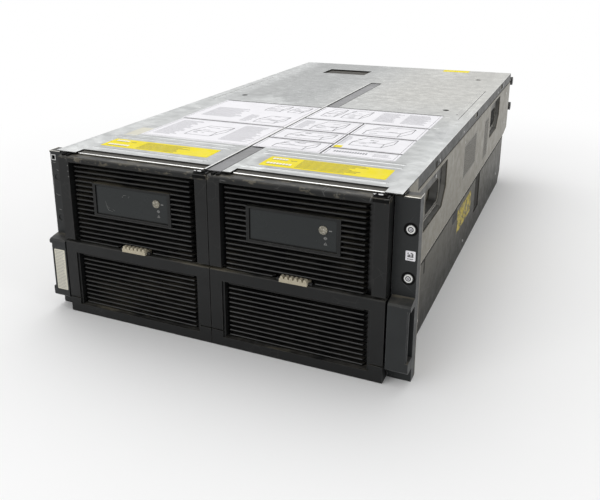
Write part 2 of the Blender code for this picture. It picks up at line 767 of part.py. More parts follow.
def small_button(name, height):
    """Round push button in the right ear."""
    x = EAR_OUTER - SMALL_BUTTON_INSET
    front = EAR_FRONT - SMALL_BUTTON_PROUD
    pivot = pivot_at(f"{name}_axis", x, front, height)
    shape = rounds("Y", ((x, height),), SMALL_BUTTON_RADIUS, (front, front + SMALL_BUTTON_LENGTH))
    piece(name, button_white, shape, pivot=pivot)


def channel(back, mouth, height, sheet):
    """Outline of a channel that opens towards the mouth, in x and height."""
    low, high = span(RAIL_MIDDLE, height)
    step = math.copysign(sheet, mouth - back)
    return (
        (back, low),
        (mouth, low),
        (mouth, low + sheet),
        (back + step, low + sheet),
        (back + step, high - sheet),
        (mouth, high - sheet),
        (mouth, high),
        (back, high),
    )


def slide_rails(side, drawer, middle_pivot):
    """Outer and middle members on both sides of one drawer. The inner one is rolled into the tray's wall."""
    play = RAIL_SHEET + RAIL_PLAY
    middle_height = RAIL_HEIGHT - 2 * play
    outer_ends = (RAIL_FRONT, RAIL_FRONT + OUTER_RAIL_LENGTH)
    middle_ends = (RAIL_FRONT, RAIL_FRONT + SLIDING_RAIL_LENGTH)
    places = {
        "wall": (MIDDLE_RAIL_BACK, TRAY_OUTER, 1),
        "divider": (INNER_RAIL_BACK, TRAY_INNER, -1),
    }
    for place, (back, tray, away) in places.items():
        mouth = tray + away * FLANGE_CLEARANCE
        outline = channel(side * (back + away * play), side * mouth, RAIL_HEIGHT, RAIL_SHEET)
        steps = []
        if place == "wall":
            bracket = (back + play - RAIL_SHEET / 2, BASE_IN - GAP)
            heights = span(RAIL_MIDDLE, RAIL_HEIGHT / 2)
            steps.append(join(blocks((sided(side, bracket), outer_ends, heights))))
        piece(f"outer_rail_{place}_{drawer}", rail_steel, prisms("Y", outline, (outer_ends,)), *steps)
        outline = channel(side * back, side * mouth, middle_height, RAIL_SHEET)
        shape = prisms("Y", outline, (middle_ends,))
        piece(f"middle_rail_{place}_{drawer}", rail_steel, shape, pivot=middle_pivot)


def drawer_tray(side, drawer, left, pivot):
    """Folded tray with its front wall, row walls and the runners rolled into its sides."""
    outer = sided(side, (TRAY_INNER, TRAY_OUTER))
    inner = (outer[0] + SHEET, outer[1] - SHEET)
    front = BEZEL_DEPTH + GAP
    wall_ends = (left + FRONT_WALL_INSET, left + BEZEL_WIDTH - FRONT_WALL_INSET)
    lip_high = HEIGHT - LIP_DROP
    lip = (
        (LIP_FRONT, BEZEL_HEIGHT + GAP),
        (front + SHEET / 6, BEZEL_HEIGHT + GAP),
        (front + SHEET / 6, BEZEL_HEIGHT - SHEET),
        (front + SHEET * 5 / 6, BEZEL_HEIGHT - SHEET),
        (front + SHEET * 5 / 6, lip_high),
        *arc((LIP_FRONT + LIP_ROUND, lip_high - LIP_ROUND), LIP_ROUND, 90, 180, 3),
    )
    play = RAIL_SHEET + RAIL_PLAY
    runner_heights = span(RAIL_MIDDLE, RAIL_HEIGHT - 4 * play)
    runner_ends = (RAIL_FRONT, RAIL_FRONT + SLIDING_RAIL_LENGTH)
    outer_runner = sided(side, (TRAY_OUTER - SHEET / 2, TRAY_OUTER + RUNNER_DEPTH))
    inner_runner = sided(side, (TRAY_INNER - RUNNER_DEPTH, TRAY_INNER + SHEET / 2))
    through = (front - OVERRUN, front + SHEET + OVERRUN)
    upper = (HANDLE_TOP + UPPER_WINDOW_INSET, BEZEL_HEIGHT - UPPER_WINDOW_INSET)
    lower = (LOWER_WINDOW_LOW, HANDLE_TOP - LOWER_WINDOW_DROP)
    windows = []
    span_left = left + WINDOW_MARGIN
    for i in range(int((BEZEL_WIDTH - 2 * WINDOW_MARGIN) / WINDOW_PITCH)):
        x0 = span_left + i * WINDOW_PITCH
        for heights in (upper, lower):
            windows.append(((x0, x0 + WINDOW_PITCH - WINDOW_BAR), through, heights))
    walls = []
    for row in range(1, rows_of_drives()):
        depth = FIRST_ROW + row * ROW_PITCH - (ROW_PITCH - DRIVE_WIDTH) / 2
        ends = (inner[0] - SHEET / 2, inner[1] + SHEET / 2)
        walls.append((ends, span(depth, SHEET), (ROW_WALL_LOW, HEIGHT - ROW_WALL_DROP)))
    piece(
        f"drawer_tray_{drawer}",
        zinc,
        blocks((outer, (front + SHEET / 2, TRAY_BACK), (TRAY_LOW, TRAY_HIGH))),
        cut(blocks((inner, (front, TRAY_BACK - SHEET), (TRAY_LOW + SHEET, TRAY_HIGH + OVERRUN)))),
        join(blocks((wall_ends, (front, front + SHEET), (FRONT_WALL_LOW, BEZEL_HEIGHT)))),
        join(prisms("X", lip, (lip_ends(side),))),
        join(blocks(*walls)),
        join(blocks((outer_runner, runner_ends, runner_heights))),
        join(blocks((inner_runner, runner_ends, runner_heights))),
        cut(blocks(*windows)),
        pivot=pivot,
    )


def rows_of_drives():
    """How many rows of drives the tray's length takes."""
    return 1 + int((TRAY_BACK - SHEET - FIRST_ROW - DRIVE_WIDTH) / ROW_PITCH)


def drive_bank(side, drawer, pivot):
    """Backplane on its standoffs, with the drives upright in their carriers, plugged into it."""
    inner = sided(side, (TRAY_INNER + SHEET, TRAY_OUTER - SHEET))
    board = (inner[0] + BOARD_MARGIN, inner[1] - BOARD_MARGIN)
    board_back = TRAY_BACK - SHEET - BOARD_MARGIN
    middle = sum(inner) / 2
    columns = 1 + int((inner[1] - inner[0] - DRIVE_THICKNESS) / DRIVE_PITCH)
    top = HEIGHT - DRIVE_HEADROOM - CARRIER_HEIGHT
    sunk = BOARD_HIGH - BOARD_SHEET / 2
    drives = bmesh.new()
    for row in range(rows_of_drives()):
        start = FIRST_ROW + row * ROW_PITCH
        outline = [(start, sunk), (start + DRIVE_WIDTH, sunk)]
        outline += [(start + a * DRIVE_WIDTH, top + b * CARRIER_HEIGHT) for a, b in CARRIER_SHARES]
        places = [middle + (i - (columns - 1) / 2) * DRIVE_PITCH for i in range(columns)]
        prisms("X", outline, [span(x, DRIVE_THICKNESS) for x in places], drives)
    standoffs = []
    for x in (board[0] + STANDOFF, board[1] - STANDOFF):
        for depth in (BOARD_FRONT + STANDOFF, (BOARD_FRONT + board_back) / 2, board_back - STANDOFF):
            standoffs.append((x, depth))
    foot_ends = (TRAY_LOW + SHEET + GAP, BOARD_LOW + BOARD_SHEET / 2)
    feet = rounds("Z", standoffs, STANDOFF / 2, foot_ends, KNOB_SIDES // 2)
    piece(
        f"drive_bank_{drawer}",
        drive_metal,
        blocks((board, (BOARD_FRONT, board_back), (BOARD_LOW, BOARD_HIGH))),
        join(drives),
        join(feet),
        pivot=pivot,
    )


def bezel_left(side):
    """World x of a bezel's left edge."""
    return DRAWER_SPACING / 2 if side > 0 else -DRAWER_SPACING / 2 - BEZEL_WIDTH


def lip_ends(side):
    """World x of the ends of a drawer's lip."""
    left = bezel_left(side)
    return left + LIP_INSETS[side][0], left + BEZEL_WIDTH - LIP_INSETS[side][1]


def bezel_frame(drawer, left, pivot):
    """Moulded front frame: upper borders, web, cheeks with the handle's pins, and the foot strip."""
    right = left + BEZEL_WIDTH
    profile = [(BEZEL_CHAMFER, 0), (0, BEZEL_CHAMFER)]
    profile += arc((BEZEL_ROUND, BEZEL_HEIGHT - BEZEL_ROUND), BEZEL_ROUND, 180, 90, 4)
    profile += [(BEZEL_DEPTH, BEZEL_HEIGHT), (BEZEL_DEPTH, 0)]
    depths = (-OVERRUN, BEZEL_DEPTH + OVERRUN)
    upper = ((left + BORDER, right - BORDER), depths, (UPPER_OPENING_LOW, BEZEL_HEIGHT - TOP_BORDER))
    cheek = BORDER + GAP + CHEEK
    handle_low = HANDLE_TOP - HANDLE_BAR
    lower = ((left + cheek, right - cheek), depths, (BOTTOM_BORDER, handle_low))
    recess = (-OVERRUN, HANDLE_DEPTH + GAP)
    bar = ((left - OVERRUN, right + OVERRUN), recess, (handle_low - GAP, UPPER_BORDER_LOW))
    leg = (FOOT_HEIGHT, handle_low)
    left_leg = ((left - OVERRUN, left + BORDER + GAP), recess, leg)
    right_leg = ((right - BORDER - GAP, right + OVERRUN), recess, leg)
    cheek_front = (-OVERRUN, CHEEK_FRONT)
    between = (left + BORDER, right - BORDER)
    pins = (
        (left + BORDER + GAP - PIN_LENGTH, left + BORDER + GAP + CHEEK / 2),
        (right - BORDER - GAP - CHEEK / 2, right - BORDER - GAP + PIN_LENGTH),
    )
    circle = arc((HINGE_DEPTH, HINGE_HEIGHT), PIN_RADIUS, 0, 330, 11)
    piece(
        f"bezel_frame_{drawer}",
        bezel_plastic,
        prisms("X", profile, ((left, right),)),
        cut(blocks(upper, lower)),
        cut(blocks(bar)),
        cut(blocks(left_leg, right_leg)),
        cut(blocks((between, cheek_front, (BOTTOM_BORDER, handle_low + OVERRUN)))),
        join(prisms("X", circle, pins)),
        pivot=pivot,
    )


def louvre(bm, ends, height, nose, retreats):
    """One blade with a round nose. Where it ends free, the nose runs back into the tail."""
    low, high = ends
    stations = [(low, retreats[0]), (high, retreats[1])]
    if retreats[0]:
        stations.insert(1, (low + END_LENGTH, 0))
    if retreats[1]:
        stations.insert(-1, (high - END_LENGTH, 0))
    rings = []
    for x, retreat in stations:
        front = nose + retreat
        outline = [(front + a * BLADE_HEIGHT, height + b * BLADE_HEIGHT) for a, b in NOSE_SHARES]
        outline.append((BLADE_TAIL, height + TAIL_RISE + TAIL_HEIGHT / 2))
        outline.append((BLADE_TAIL, height + TAIL_RISE - TAIL_HEIGHT / 2))
        rings.append([bm.verts.new((x, FRONT + depth, z)) for depth, z in outline])
    skin(bm, rings)


def rim_steps(ends, heights):
    """The hole inside a grille's rim."""
    hole = (RIM_FRONT - OVERRUN, RIM_BACK + OVERRUN)
    inner = (ends[0] + RIM_WIDTH, ends[1] - RIM_WIDTH)
    return cut(blocks((inner, hole, (heights[0] + RIM_HEIGHT, heights[1] - RIM_HEIGHT))))


def upper_grille(drawer, left, pivot):
    """Louvres of the upper opening, parted round the display and at the release latch."""
    right = left + BEZEL_WIDTH
    ends = (left + BORDER + GAP, right - BORDER - GAP)
    heights = (UPPER_OPENING_LOW + GAP, BEZEL_HEIGHT - TOP_BORDER - GAP)
    blade = (ends[0] + UPPER_BLADE_START, ends[1] - UPPER_BLADE_STOP)
    display = (left + DISPLAY_START - GAP, right - DISPLAY_END + GAP)
    latch_low = left + TAB_START - LATCH_EAR - LATCH_PLAY
    latch = (latch_low, left + TAB_START + TAB_WIDTH + LATCH_EAR + GAP)
    bars = bmesh.new()
    first = HANDLE_TOP + UPPER_FIRST_BLADE_RISE
    for i in range(1 + int((heights[1] - TOP_BLADE_MARGIN - first) / UPPER_PITCH)):
        height = first + i * UPPER_PITCH
        reach = BLADE_HEIGHT / 2 + TAIL_RISE
        if i == 0:
            louvre(bars, (blade[0], latch[0]), height, UPPER_NOSE, (END_RETREAT, END_RETREAT))
            louvre(bars, (latch[1], blade[1]), height, UPPER_NOSE, (END_RETREAT, END_RETREAT))
        elif DISPLAY_LOW < height + BLADE_HEIGHT / 2 and height - reach < DISPLAY_HIGH:
            louvre(bars, (blade[0], display[0]), height, UPPER_NOSE, (END_RETREAT, 0))
            louvre(bars, (display[1], blade[1]), height, UPPER_NOSE, (0, END_RETREAT))
        else:
            louvre(bars, blade, height, UPPER_NOSE, (END_RETREAT, END_RETREAT))
    piece(
        f"upper_grille_{drawer}",
        louvre_plastic,
        blocks((ends, (RIM_FRONT, RIM_BACK), heights)),
        rim_steps(ends, heights),
        join(bars),
        pivot=pivot,
    )


def lower_grille(drawer, left, pivot):
    """Louvres behind the pull handle."""
    inset = BORDER + GAP + CHEEK + GAP
    ends = (left + inset, left + BEZEL_WIDTH - inset)
    heights = (BOTTOM_BORDER + GAP, HANDLE_TOP - HANDLE_BAR - GAP)
    blade = (ends[0] + LOWER_BLADE_START, ends[1] - LOWER_BLADE_STOP)
    bars = bmesh.new()
    for i in range(1 + int((heights[1] - TOP_BLADE_MARGIN - LOWER_FIRST_BLADE) / LOWER_PITCH)):
        height = LOWER_FIRST_BLADE + i * LOWER_PITCH
        louvre(bars, blade, height, LOWER_NOSE, (END_RETREAT, END_RETREAT))
    piece(
        f"lower_grille_{drawer}",
        louvre_plastic,
        blocks((ends, (RIM_FRONT, RIM_BACK), heights)),
        rim_steps(ends, heights),
        join(bars),
        pivot=pivot,
    )


def pull_handle(drawer, left, pivot):
    """Inverted U: a cross bar on two legs, each leg round about its hinge at the back of its foot."""
    right = left + BEZEL_WIDTH
    foot = FOOT_HEIGHT + HANDLE_FOOT_GAP
    profile = [
        (HANDLE_CHAMFER, HANDLE_TOP),
        (0, HANDLE_TOP - HANDLE_CHAMFER),
        (0, foot + HANDLE_CHAMFER),
        (HANDLE_CHAMFER, foot),
        (HINGE_DEPTH, foot),
    ]
    swing = HANDLE_DEPTH - HINGE_DEPTH
    heel = math.degrees(math.asin(min(1, HINGE_RISE / swing)))
    profile += arc((HINGE_DEPTH, HINGE_HEIGHT), swing, -heel, 0, 4)
    profile.append((HANDLE_DEPTH, HANDLE_TOP - HANDLE_BACK_CHAMFER))
    profile.append((HANDLE_DEPTH - HANDLE_BACK_CHAMFER, HANDLE_TOP))
    inside = ((left + BORDER, right - BORDER), (-OVERRUN, HANDLE_DEPTH + OVERRUN))
    bore = PIN_LENGTH + PIN_CLEARANCE
    bores = (
        (left + BORDER - bore, left + BORDER + OVERRUN),
        (right - BORDER - OVERRUN, right - BORDER + bore),
    )
    circle = arc((HINGE_DEPTH, HINGE_HEIGHT), PIN_RADIUS + PIN_CLEARANCE, 0, 330, 11)
    piece(
        f"pull_handle_{drawer}",
        bezel_plastic,
        prisms("X", profile, ((left, right),)),
        cut(blocks((*inside, (foot - OVERRUN, HANDLE_TOP - HANDLE_BAR)))),
        cut(prisms("X", circle, bores)),
        pivot=pivot,
    )


def release_latch(drawer, left, pivot):
    """Sliding latch on top of the handle's bar, with a row of ribs for a thumb."""
    start, end = left + TAB_START, left + TAB_START + TAB_WIDTH
    foot_low = UPPER_OPENING_LOW + GAP
    profile = (
        (-TAB_PROUD, TAB_LOW),
        (-TAB_PROUD, TAB_HIGH),
        (TAB_BACK, TAB_HIGH),
        (TAB_BACK, foot_low),
        (TAB_BACK - FOOT_DEPTH, foot_low),
        (TAB_BACK - FOOT_DEPTH, TAB_LOW),
    )
    pitch = TAB_WIDTH / TAB_RIBS
    ribs = bmesh.new()
    for i in range(TAB_RIBS):
        middle = start + (i + 1 / 2) * pitch
        base = pitch * RIB_BASE_SHARE / 2
        crest = pitch * RIB_CREST_SHARE / 2
        outline = (
            (middle - base, TAB_HIGH - RIB_HEIGHT / 4),
            (middle + base, TAB_HIGH - RIB_HEIGHT / 4),
            (middle + base, TAB_HIGH),
            (middle + crest, TAB_HIGH + RIB_HEIGHT),
            (middle - crest, TAB_HIGH + RIB_HEIGHT),
            (middle - base, TAB_HIGH),
        )
        prisms("Y", outline, ((GAP - TAB_PROUD, RIB_BACK),), ribs)
    ear_heights = span((TAB_LOW + TAB_HIGH) / 2, LATCH_EAR_HEIGHT)
    ears = blocks(
        ((start - LATCH_EAR, start + GAP), LATCH_EAR_DEPTH, ear_heights),
        ((end - GAP, end + LATCH_EAR), LATCH_EAR_DEPTH, ear_heights),
    )
    piece(
        f"release_latch_{drawer}",
        latch_ivory,
        prisms("X", profile, ((start, end),)),
        join(ribs),
        join(ears),
        pivot=pivot,
    )


def display(drawer, left, pivot):
    """Display housing with its backing panel, the window in it and the button through the window."""
    start, end = left + DISPLAY_START, left + BEZEL_WIDTH - DISPLAY_END
    key = ((left + KEY_X, KEY_HEIGHT),)
    bore = KEY_RADIUS + GAP
    window = (start + DISPLAY_FRAME, end - DISPLAY_FRAME)
    heights = (DISPLAY_LOW + DISPLAY_FRAME_HEIGHT, DISPLAY_HIGH - DISPLAY_FRAME_HEIGHT)
    seat = ((window[0] - GAP, window[1] + GAP), (0, WINDOW_BACK + GAP), (heights[0] - GAP, heights[1] + GAP))
    panel = ((start, end), (DISPLAY_BACK, RIM_BACK), (PANEL_LOW, DISPLAY_LOW + DISPLAY_FRAME_HEIGHT))
    piece(
        f"display_housing_{drawer}",
        bezel_plastic,
        blocks(((start, end), (DISPLAY_FRONT, RIM_BACK), (DISPLAY_LOW, DISPLAY_HIGH))),
        join(blocks(panel)),
        cut(blocks(seat)),
        cut(rounds("Y", key, bore, (WINDOW_BACK, KEY_BORE_BACK))),
        pivot=pivot,
    )
    piece(
        f"display_window_{drawer}",
        window_slate,
        blocks((window, (WINDOW_FRONT, WINDOW_BACK), heights)),
        cut(rounds("Y", key, bore, (0, WINDOW_BACK + OVERRUN))),
        pivot=pivot,
    )
    axis = pivot_at(f"display_button_{drawer}_axis", left + KEY_X, KEY_FRONT, KEY_HEIGHT, pivot)
    shape = rounds("Y", key, KEY_RADIUS, (KEY_FRONT, KEY_BACK))
    piece(f"display_button_{drawer}", button_white, shape, pivot=axis)


def drawer_unit(side, drawer):
    """Everything that slides out with one drawer, and its rails."""
    left = bezel_left(side)
    slide = pivot_at(f"drawer_{drawer}_axis", left + BEZEL_WIDTH / 2, 0, RAIL_MIDDLE)
    middle = pivot_at(f"middle_rails_{drawer}_axis", left + BEZEL_WIDTH / 2, RAIL_FRONT, RAIL_MIDDLE)
    hinge = pivot_at(f"handle_{drawer}_axis", left + BEZEL_WIDTH / 2, HINGE_DEPTH, HINGE_HEIGHT, slide)
    latch = pivot_at(f"latch_{drawer}_axis", left + TAB_START + TAB_WIDTH / 2, 0, TAB_LOW, slide)
    slide_rails(side, drawer, middle)
    drawer_tray(side, drawer, left, slide)
    drive_bank(side, drawer, slide)
    bezel_frame(drawer, left, slide)
    upper_grille(drawer, left, slide)
    lower_grille(drawer, left, slide)
    pull_handle(drawer, left, hinge)
    release_latch(drawer, left, latch)
    display(drawer, left, slide)


def supply_bays():
    """Ends along x of the four power supplies."""
    width = (2 * BAY_HALF - 3 * BAY_BAR) / 4
    starts = [-BAY_HALF + i * (width + BAY_BAR) for i in range(4)]
    return [(start, start + width) for start in starts]


def upper_bays():
    """Ends along x and heights of the upper modules: fans in the middle, modules stacked at the sides."""
    low = UPPER_SHELF_LOW + SHEET + GAP
    stack = (BAY_HIGH - low - BAY_BAR) / 2
    fans = [sided(side, (BAY_BAR / 2, BAY_HALF - IO_WIDTH - BAY_BAR)) for side in (-1, 1)]
    modules = []
    for side in (-1, 1):
        for level in range(2):
            start = low + level * (stack + BAY_BAR)
            modules.append((side, sided(side, (BAY_HALF - IO_WIDTH, BAY_HALF)), (start, start + stack)))
    return fans, modules, (low, BAY_HIGH)


def rear_cage():
    """Rear face with the module openings, stepped between its lower and upper half, and its shelves."""
    reach = BASE_IN - GAP
    low = REAR_BEVEL + 2 * SHEET + GAP
    profile = (
        (LOWER_DEPTH, low),
        (LOWER_DEPTH, SEAM_HEIGHT),
        (UPPER_DEPTH, SEAM_HEIGHT + LEDGE_RISE),
        (UPPER_DEPTH, WALL_TOP),
        (UPPER_DEPTH - SHEET, WALL_TOP),
        (UPPER_DEPTH - SHEET, SEAM_HEIGHT + LEDGE_RISE + SHEET),
        (LOWER_DEPTH - SHEET, SEAM_HEIGHT + SHEET),
        (LOWER_DEPTH - SHEET, low),
    )
    shelf_front = BULKHEAD_DEPTH + SHEET + GAP
    upper_shelf = (UPPER_SHELF_LOW, UPPER_SHELF_LOW + SHEET)
    shelves = blocks(
        ((-reach, reach), (shelf_front, LOWER_DEPTH - SHEET / 2), (SHELF_LOW, SHELF_LOW + SHEET)),
        ((-reach, reach), (shelf_front, UPPER_DEPTH - SHEET / 2), upper_shelf),
    )
    fans, modules, heights = upper_bays()
    behind = (UPPER_DEPTH - SHEET - OVERRUN, UPPER_DEPTH + OVERRUN)
    above = [grown(ends, heights, behind) for ends in fans]
    above += [grown(ends, rise, behind) for _, ends, rise in modules]
    behind = (LOWER_DEPTH - SHEET - OVERRUN, LOWER_DEPTH + OVERRUN)
    rise = (SHELF_LOW + SHEET + GAP, SUPPLY_HIGH)
    below = [grown(ends, rise, behind) for ends in supply_bays()]
    piece(
        "rear_cage",
        zinc,
        prisms("X", profile, ((-reach, reach),)),
        join(shelves),
        cut(blocks(*above, *below)),
    )


def grown(ends, heights, depths):
    """The opening round a module, with its clearance."""
    return (ends[0] - GAP, ends[1] + GAP), depths, (heights[0] - GAP, heights[1] + GAP)


def power_supplies():
    """Four supplies side by side, each with its inlet, air slots and pull tab."""
    low = SHELF_LOW + SHEET + GAP
    for i, (x0, x1) in enumerate(supply_bays()):
        inlet_x = (x0 + INLET_INSET, x0 + INLET_INSET + INLET[0])
        inlet_z = (low + INLET_RISE, low + INLET_RISE + INLET[1])
        slot_depths = (LOWER_DEPTH - SLOT_DEPTH, LOWER_DEPTH + OVERRUN)
        slot_heights = (low + SLOT_MARGIN, SUPPLY_HIGH - SLOT_MARGIN)
        slots = []
        for k in range(int((x1 - SLOT_MARGIN - inlet_x[1] - SLOT_CLEARANCE) / SLOT_PITCH)):
            start = x1 - SLOT_MARGIN - SLOT_WIDTH - k * SLOT_PITCH
            slots.append(((start, start + SLOT_WIDTH), slot_depths, slot_heights))
        tab_x = span(sum(inlet_x) / 2, PULL_TAB[0])
        tab_z = (SUPPLY_HIGH - SLOT_MARGIN - PULL_TAB[1], SUPPLY_HIGH - SLOT_MARGIN)
        piece(
            f"power_supply_{i + 1}",
            module_steel,
            blocks(((x0, x1), (BULKHEAD_DEPTH + SUPPLY_MARGIN, LOWER_DEPTH), (low, SUPPLY_HIGH))),
            cut(blocks((inlet_x, (LOWER_DEPTH - INLET_DEPTH, LOWER_DEPTH + OVERRUN), inlet_z), *slots)),
            join(blocks((tab_x, (LOWER_DEPTH - OVERRUN, LOWER_DEPTH + PULL_TAB_REACH), tab_z))),
        )


def io_modules():
    """Four modules with their ports, each with an ejector lever between two lugs."""
    _, modules, _ = upper_bays()
    for i, (side, (x0, x1), (low, high)) in enumerate(modules):
        outer = side * max(abs(x0), abs(x1))
        axis_x = outer - side * LEVER_RADIUS
        axis_depth = UPPER_DEPTH + GAP + LEVER_RADIUS
        middle = low + LEVER_RISE
        arm = span(middle, LEVER_ARM)
        ports = []
        for column in range(PORT_COUNT):
            start = abs(outer) - IO_WIDTH + PORT_INSET + column * PORT_PITCH
            for rise in PORT_ROWS:
                ends = sided(side, (start, start + PORT[0]))
                heights = (low + rise, low + rise + PORT[1])
                ports.append((ends, (UPPER_DEPTH - PORT_DEPTH, UPPER_DEPTH + OVERRUN), heights))
        lug_x = sided(side, (abs(outer) - 2 * LEVER_RADIUS, abs(outer)))
        lug_depths = (UPPER_DEPTH - OVERRUN, axis_depth + LEVER_RADIUS)
        lugs = blocks(
            (lug_x, lug_depths, (arm[0] - GAP - LUG_SHEET, arm[0] - GAP)),
            (lug_x, lug_depths, (arm[1] + GAP, arm[1] + GAP + LUG_SHEET)),
        )
        piece(
            f"io_module_{i + 1}",
            module_steel,
            blocks(((x0, x1), (UPPER_DEPTH - IO_LENGTH, UPPER_DEPTH), (low, high))),
            cut(blocks(*ports)),
            join(lugs),
        )
        pivot = pivot_at(f"ejector_lever_{i + 1}_axis", axis_x, axis_depth, middle)
        knob_depth = UPPER_DEPTH + LEVER_REACH - KNOB_RADIUS
        outline = arc((axis_x, axis_depth), LEVER_RADIUS, 180, 360, 6)
        outline += [(axis_x + LEVER_RADIUS, knob_depth), (axis_x - LEVER_RADIUS, knob_depth)]
        knob_x = span(axis_x + side * KNOB_SHIFT, KNOB_WIDTH)
        piece(
            f"ejector_lever_{i + 1}",
            lever_black,
            prisms("Z", outline, (arm,)),
            join(rounds("X", ((knob_depth, middle),), KNOB_RADIUS, knob_x, KNOB_SIDES)),
            pivot=pivot,
        )


def fan_modules():
    """Two fan modules: a ducted housing with its stator on struts, and a bladed rotor."""
    fans, _, (low, high) = upper_bays()
    front = UPPER_DEPTH - FAN_LENGTH
    stator = (UPPER_DEPTH - STATOR_MARGIN - STATOR_LENGTH, UPPER_DEPTH - STATOR_MARGIN)
    for name, (x0, x1) in zip(("left", "right"), fans):
        centre = ((x0 + x1) / 2, (low + high) / 2)
        across = (x0 + GAP, x1 - GAP)
        bore = min(x1 - x0, high - low) / 2 - FAN_WALL
        strut_depths = (stator[0], stator[0] + STRUT)
        piece(
            f"fan_housing_{name}",
            fan_black,
            blocks(((x0, x1), (front, UPPER_DEPTH), (low, high))),
            cut(rounds("Y", (centre,), bore, (front - OVERRUN, UPPER_DEPTH + OVERRUN))),
            join(blocks((across, strut_depths, span(centre[1], STRUT)))),
            join(blocks((span(centre[0], STRUT), strut_depths, (low + GAP, high - GAP)))),
            join(rounds("Y", (centre,), HUB_RADIUS, stator)),
        )
        start = stator[1] + GAP
        pivot = pivot_at(f"fan_rotor_{name}_axis", centre[0], start, centre[1])
        blades = bmesh.new()
        for i in range(BLADE_COUNT):
            turn = math.radians(360 * i / BLADE_COUNT)
            fan_blade(blades, centre, bore - TIP_CLEARANCE, start + ROTOR_LENGTH / 2, turn)
        piece(
            f"fan_rotor_{name}",
            fan_black,
            rounds("Y", (centre,), HUB_RADIUS, (start, start + ROTOR_LENGTH)),
            join(blades),
            pivot=pivot,
        )


def fan_blade(bm, centre, tip, middle, turn):
    """One twisted blade: a thin slanted section at the root, halfway and at the tip."""
    rings = []
    root = HUB_RADIUS - BLADE_SINK
    for share in (0, 1 / 2, 1):
        radius = root + (tip - root) * share
        angle = math.radians(ROOT_ANGLE + (TIP_ANGLE - ROOT_ANGLE) * share)
        ring = []
        for along, thick in ((-1, -1), (1, -1), (1, 1), (-1, 1)):
            half = along * ROTOR_LENGTH * BLADE_REACH_SHARE
            across = half * math.cos(angle) - thick * BLADE_SHEET / 2 * math.sin(angle)
            depth = half * math.sin(angle) + thick * BLADE_SHEET / 2 * math.cos(angle)
            reach = math.sqrt(radius**2 - across**2)
            x = centre[0] + reach * math.cos(turn) - across * math.sin(turn)
            z = centre[1] + reach * math.sin(turn) + across * math.cos(turn)
            ring.append(bm.verts.new((x, FRONT + middle + depth, z)))
        rings.append(ring)
    skin(bm, rings)


for old in list(bpy.data.objects):
    bpy.data.objects.remove(old, do_unlink=True)

zinc = paint("zinc", (0.36, 0.34, 0.31), 0.42, 1.0)
lid_metal = paint("lid_metal", (0.55, 0.56, 0.54), 0.38, 1.0)
rail_steel = paint("rail_steel", (0.45, 0.45, 0.46), 0.30, 1.0)
module_steel = paint("module_steel", (0.42, 0.42, 0.42), 0.35, 1.0)
bezel_plastic = paint("bezel_plastic", (0.028, 0.029, 0.030), 0.45, 0.0)
louvre_plastic = paint("louvre_plastic", (0.020, 0.020, 0.021), 0.40, 0.0)
ear_plastic = paint("ear_plastic", (0.038, 0.044, 0.048), 0.45, 0.0)
window_slate = paint("window_slate", (0.036, 0.045, 0.048), 0.25, 0.0)
button_white = paint("button_white", (0.72, 0.72, 0.70), 0.40, 0.0)
latch_ivory = paint("latch_ivory", (0.60, 0.54, 0.40), 0.45, 0.0)
drive_metal = paint("drive_metal", (0.10, 0.11, 0.11), 0.40, 0.3)
fan_black = paint("fan_black", (0.02, 0.02, 0.02), 0.50, 0.0)
lever_black = paint("lever_black", (0.03, 0.03, 0.03), 0.45, 0.0)

chassis_base()
for hand, side in (("right", 1), ("left", -1)):
    side_panel(f"side_panel_{hand}", side)
    hand_pocket(f"hand_pocket_front_{hand}", side, FRONT_POCKET, FRONT_HOLE_INSETS)
    hand_pocket(f"hand_pocket_rear_{hand}", side, REAR_POCKET, REAR_HOLE_INSETS)
top_cover()
divider_and_bulkhead()
rack_ear("rack_ear_right", 1)
rack_ear("rack_ear_left", -1)
ear_cover("ear_cover_right", 1)
ear_cover("ear_cover_left", -1)
small_button("power_button", EAR_HEIGHT * SMALL_BUTTON_SHARES[0])
small_button("locate_button", EAR_HEIGHT * SMALL_BUTTON_SHARES[1])
drawer_unit(1, "right")
drawer_unit(-1, "left")
rear_cage()
power_supplies()
io_modules()
fan_modules()
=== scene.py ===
import json
import math
import random

import bmesh
import bpy
from mathutils import Matrix, Vector


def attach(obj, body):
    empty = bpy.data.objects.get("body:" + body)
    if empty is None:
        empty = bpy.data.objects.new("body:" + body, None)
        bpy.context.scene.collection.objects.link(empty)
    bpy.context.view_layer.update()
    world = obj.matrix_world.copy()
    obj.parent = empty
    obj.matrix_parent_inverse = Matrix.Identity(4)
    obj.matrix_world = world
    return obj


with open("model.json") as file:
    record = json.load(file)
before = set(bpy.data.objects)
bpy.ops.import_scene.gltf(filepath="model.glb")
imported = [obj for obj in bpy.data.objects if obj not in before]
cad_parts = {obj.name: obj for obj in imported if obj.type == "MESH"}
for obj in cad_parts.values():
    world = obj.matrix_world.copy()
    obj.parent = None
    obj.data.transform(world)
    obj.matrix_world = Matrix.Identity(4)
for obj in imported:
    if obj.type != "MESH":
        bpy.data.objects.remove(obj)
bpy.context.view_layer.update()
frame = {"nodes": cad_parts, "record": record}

NODES = frame["nodes"]
SIDES = {"left": -1, "right": 1}

# Faces of the enclosure in metres: the bezels' front in y, the cover's top in z, and the
# faces of the sides, out from the middle
FRONT = -0.461
TOP = 0.2186
PANEL = 0.224
WALL = 0.2225
POCKET = 0.218
# Depths of the two rear faces
UPPER_BACK = 0.87
LOWER_BACK = 0.83


def depth(value):
    """World y of a depth measured back from the bezels."""
    return FRONT + value


def depths(ends):
    return depth(ends[0]), depth(ends[1])


def mirrored(sign, *places):
    """Places out from the middle, on one side and in rising order."""
    return sorted(sign * place for place in places)


def scaled(colour, share):
    return tuple(c * share for c in colour)


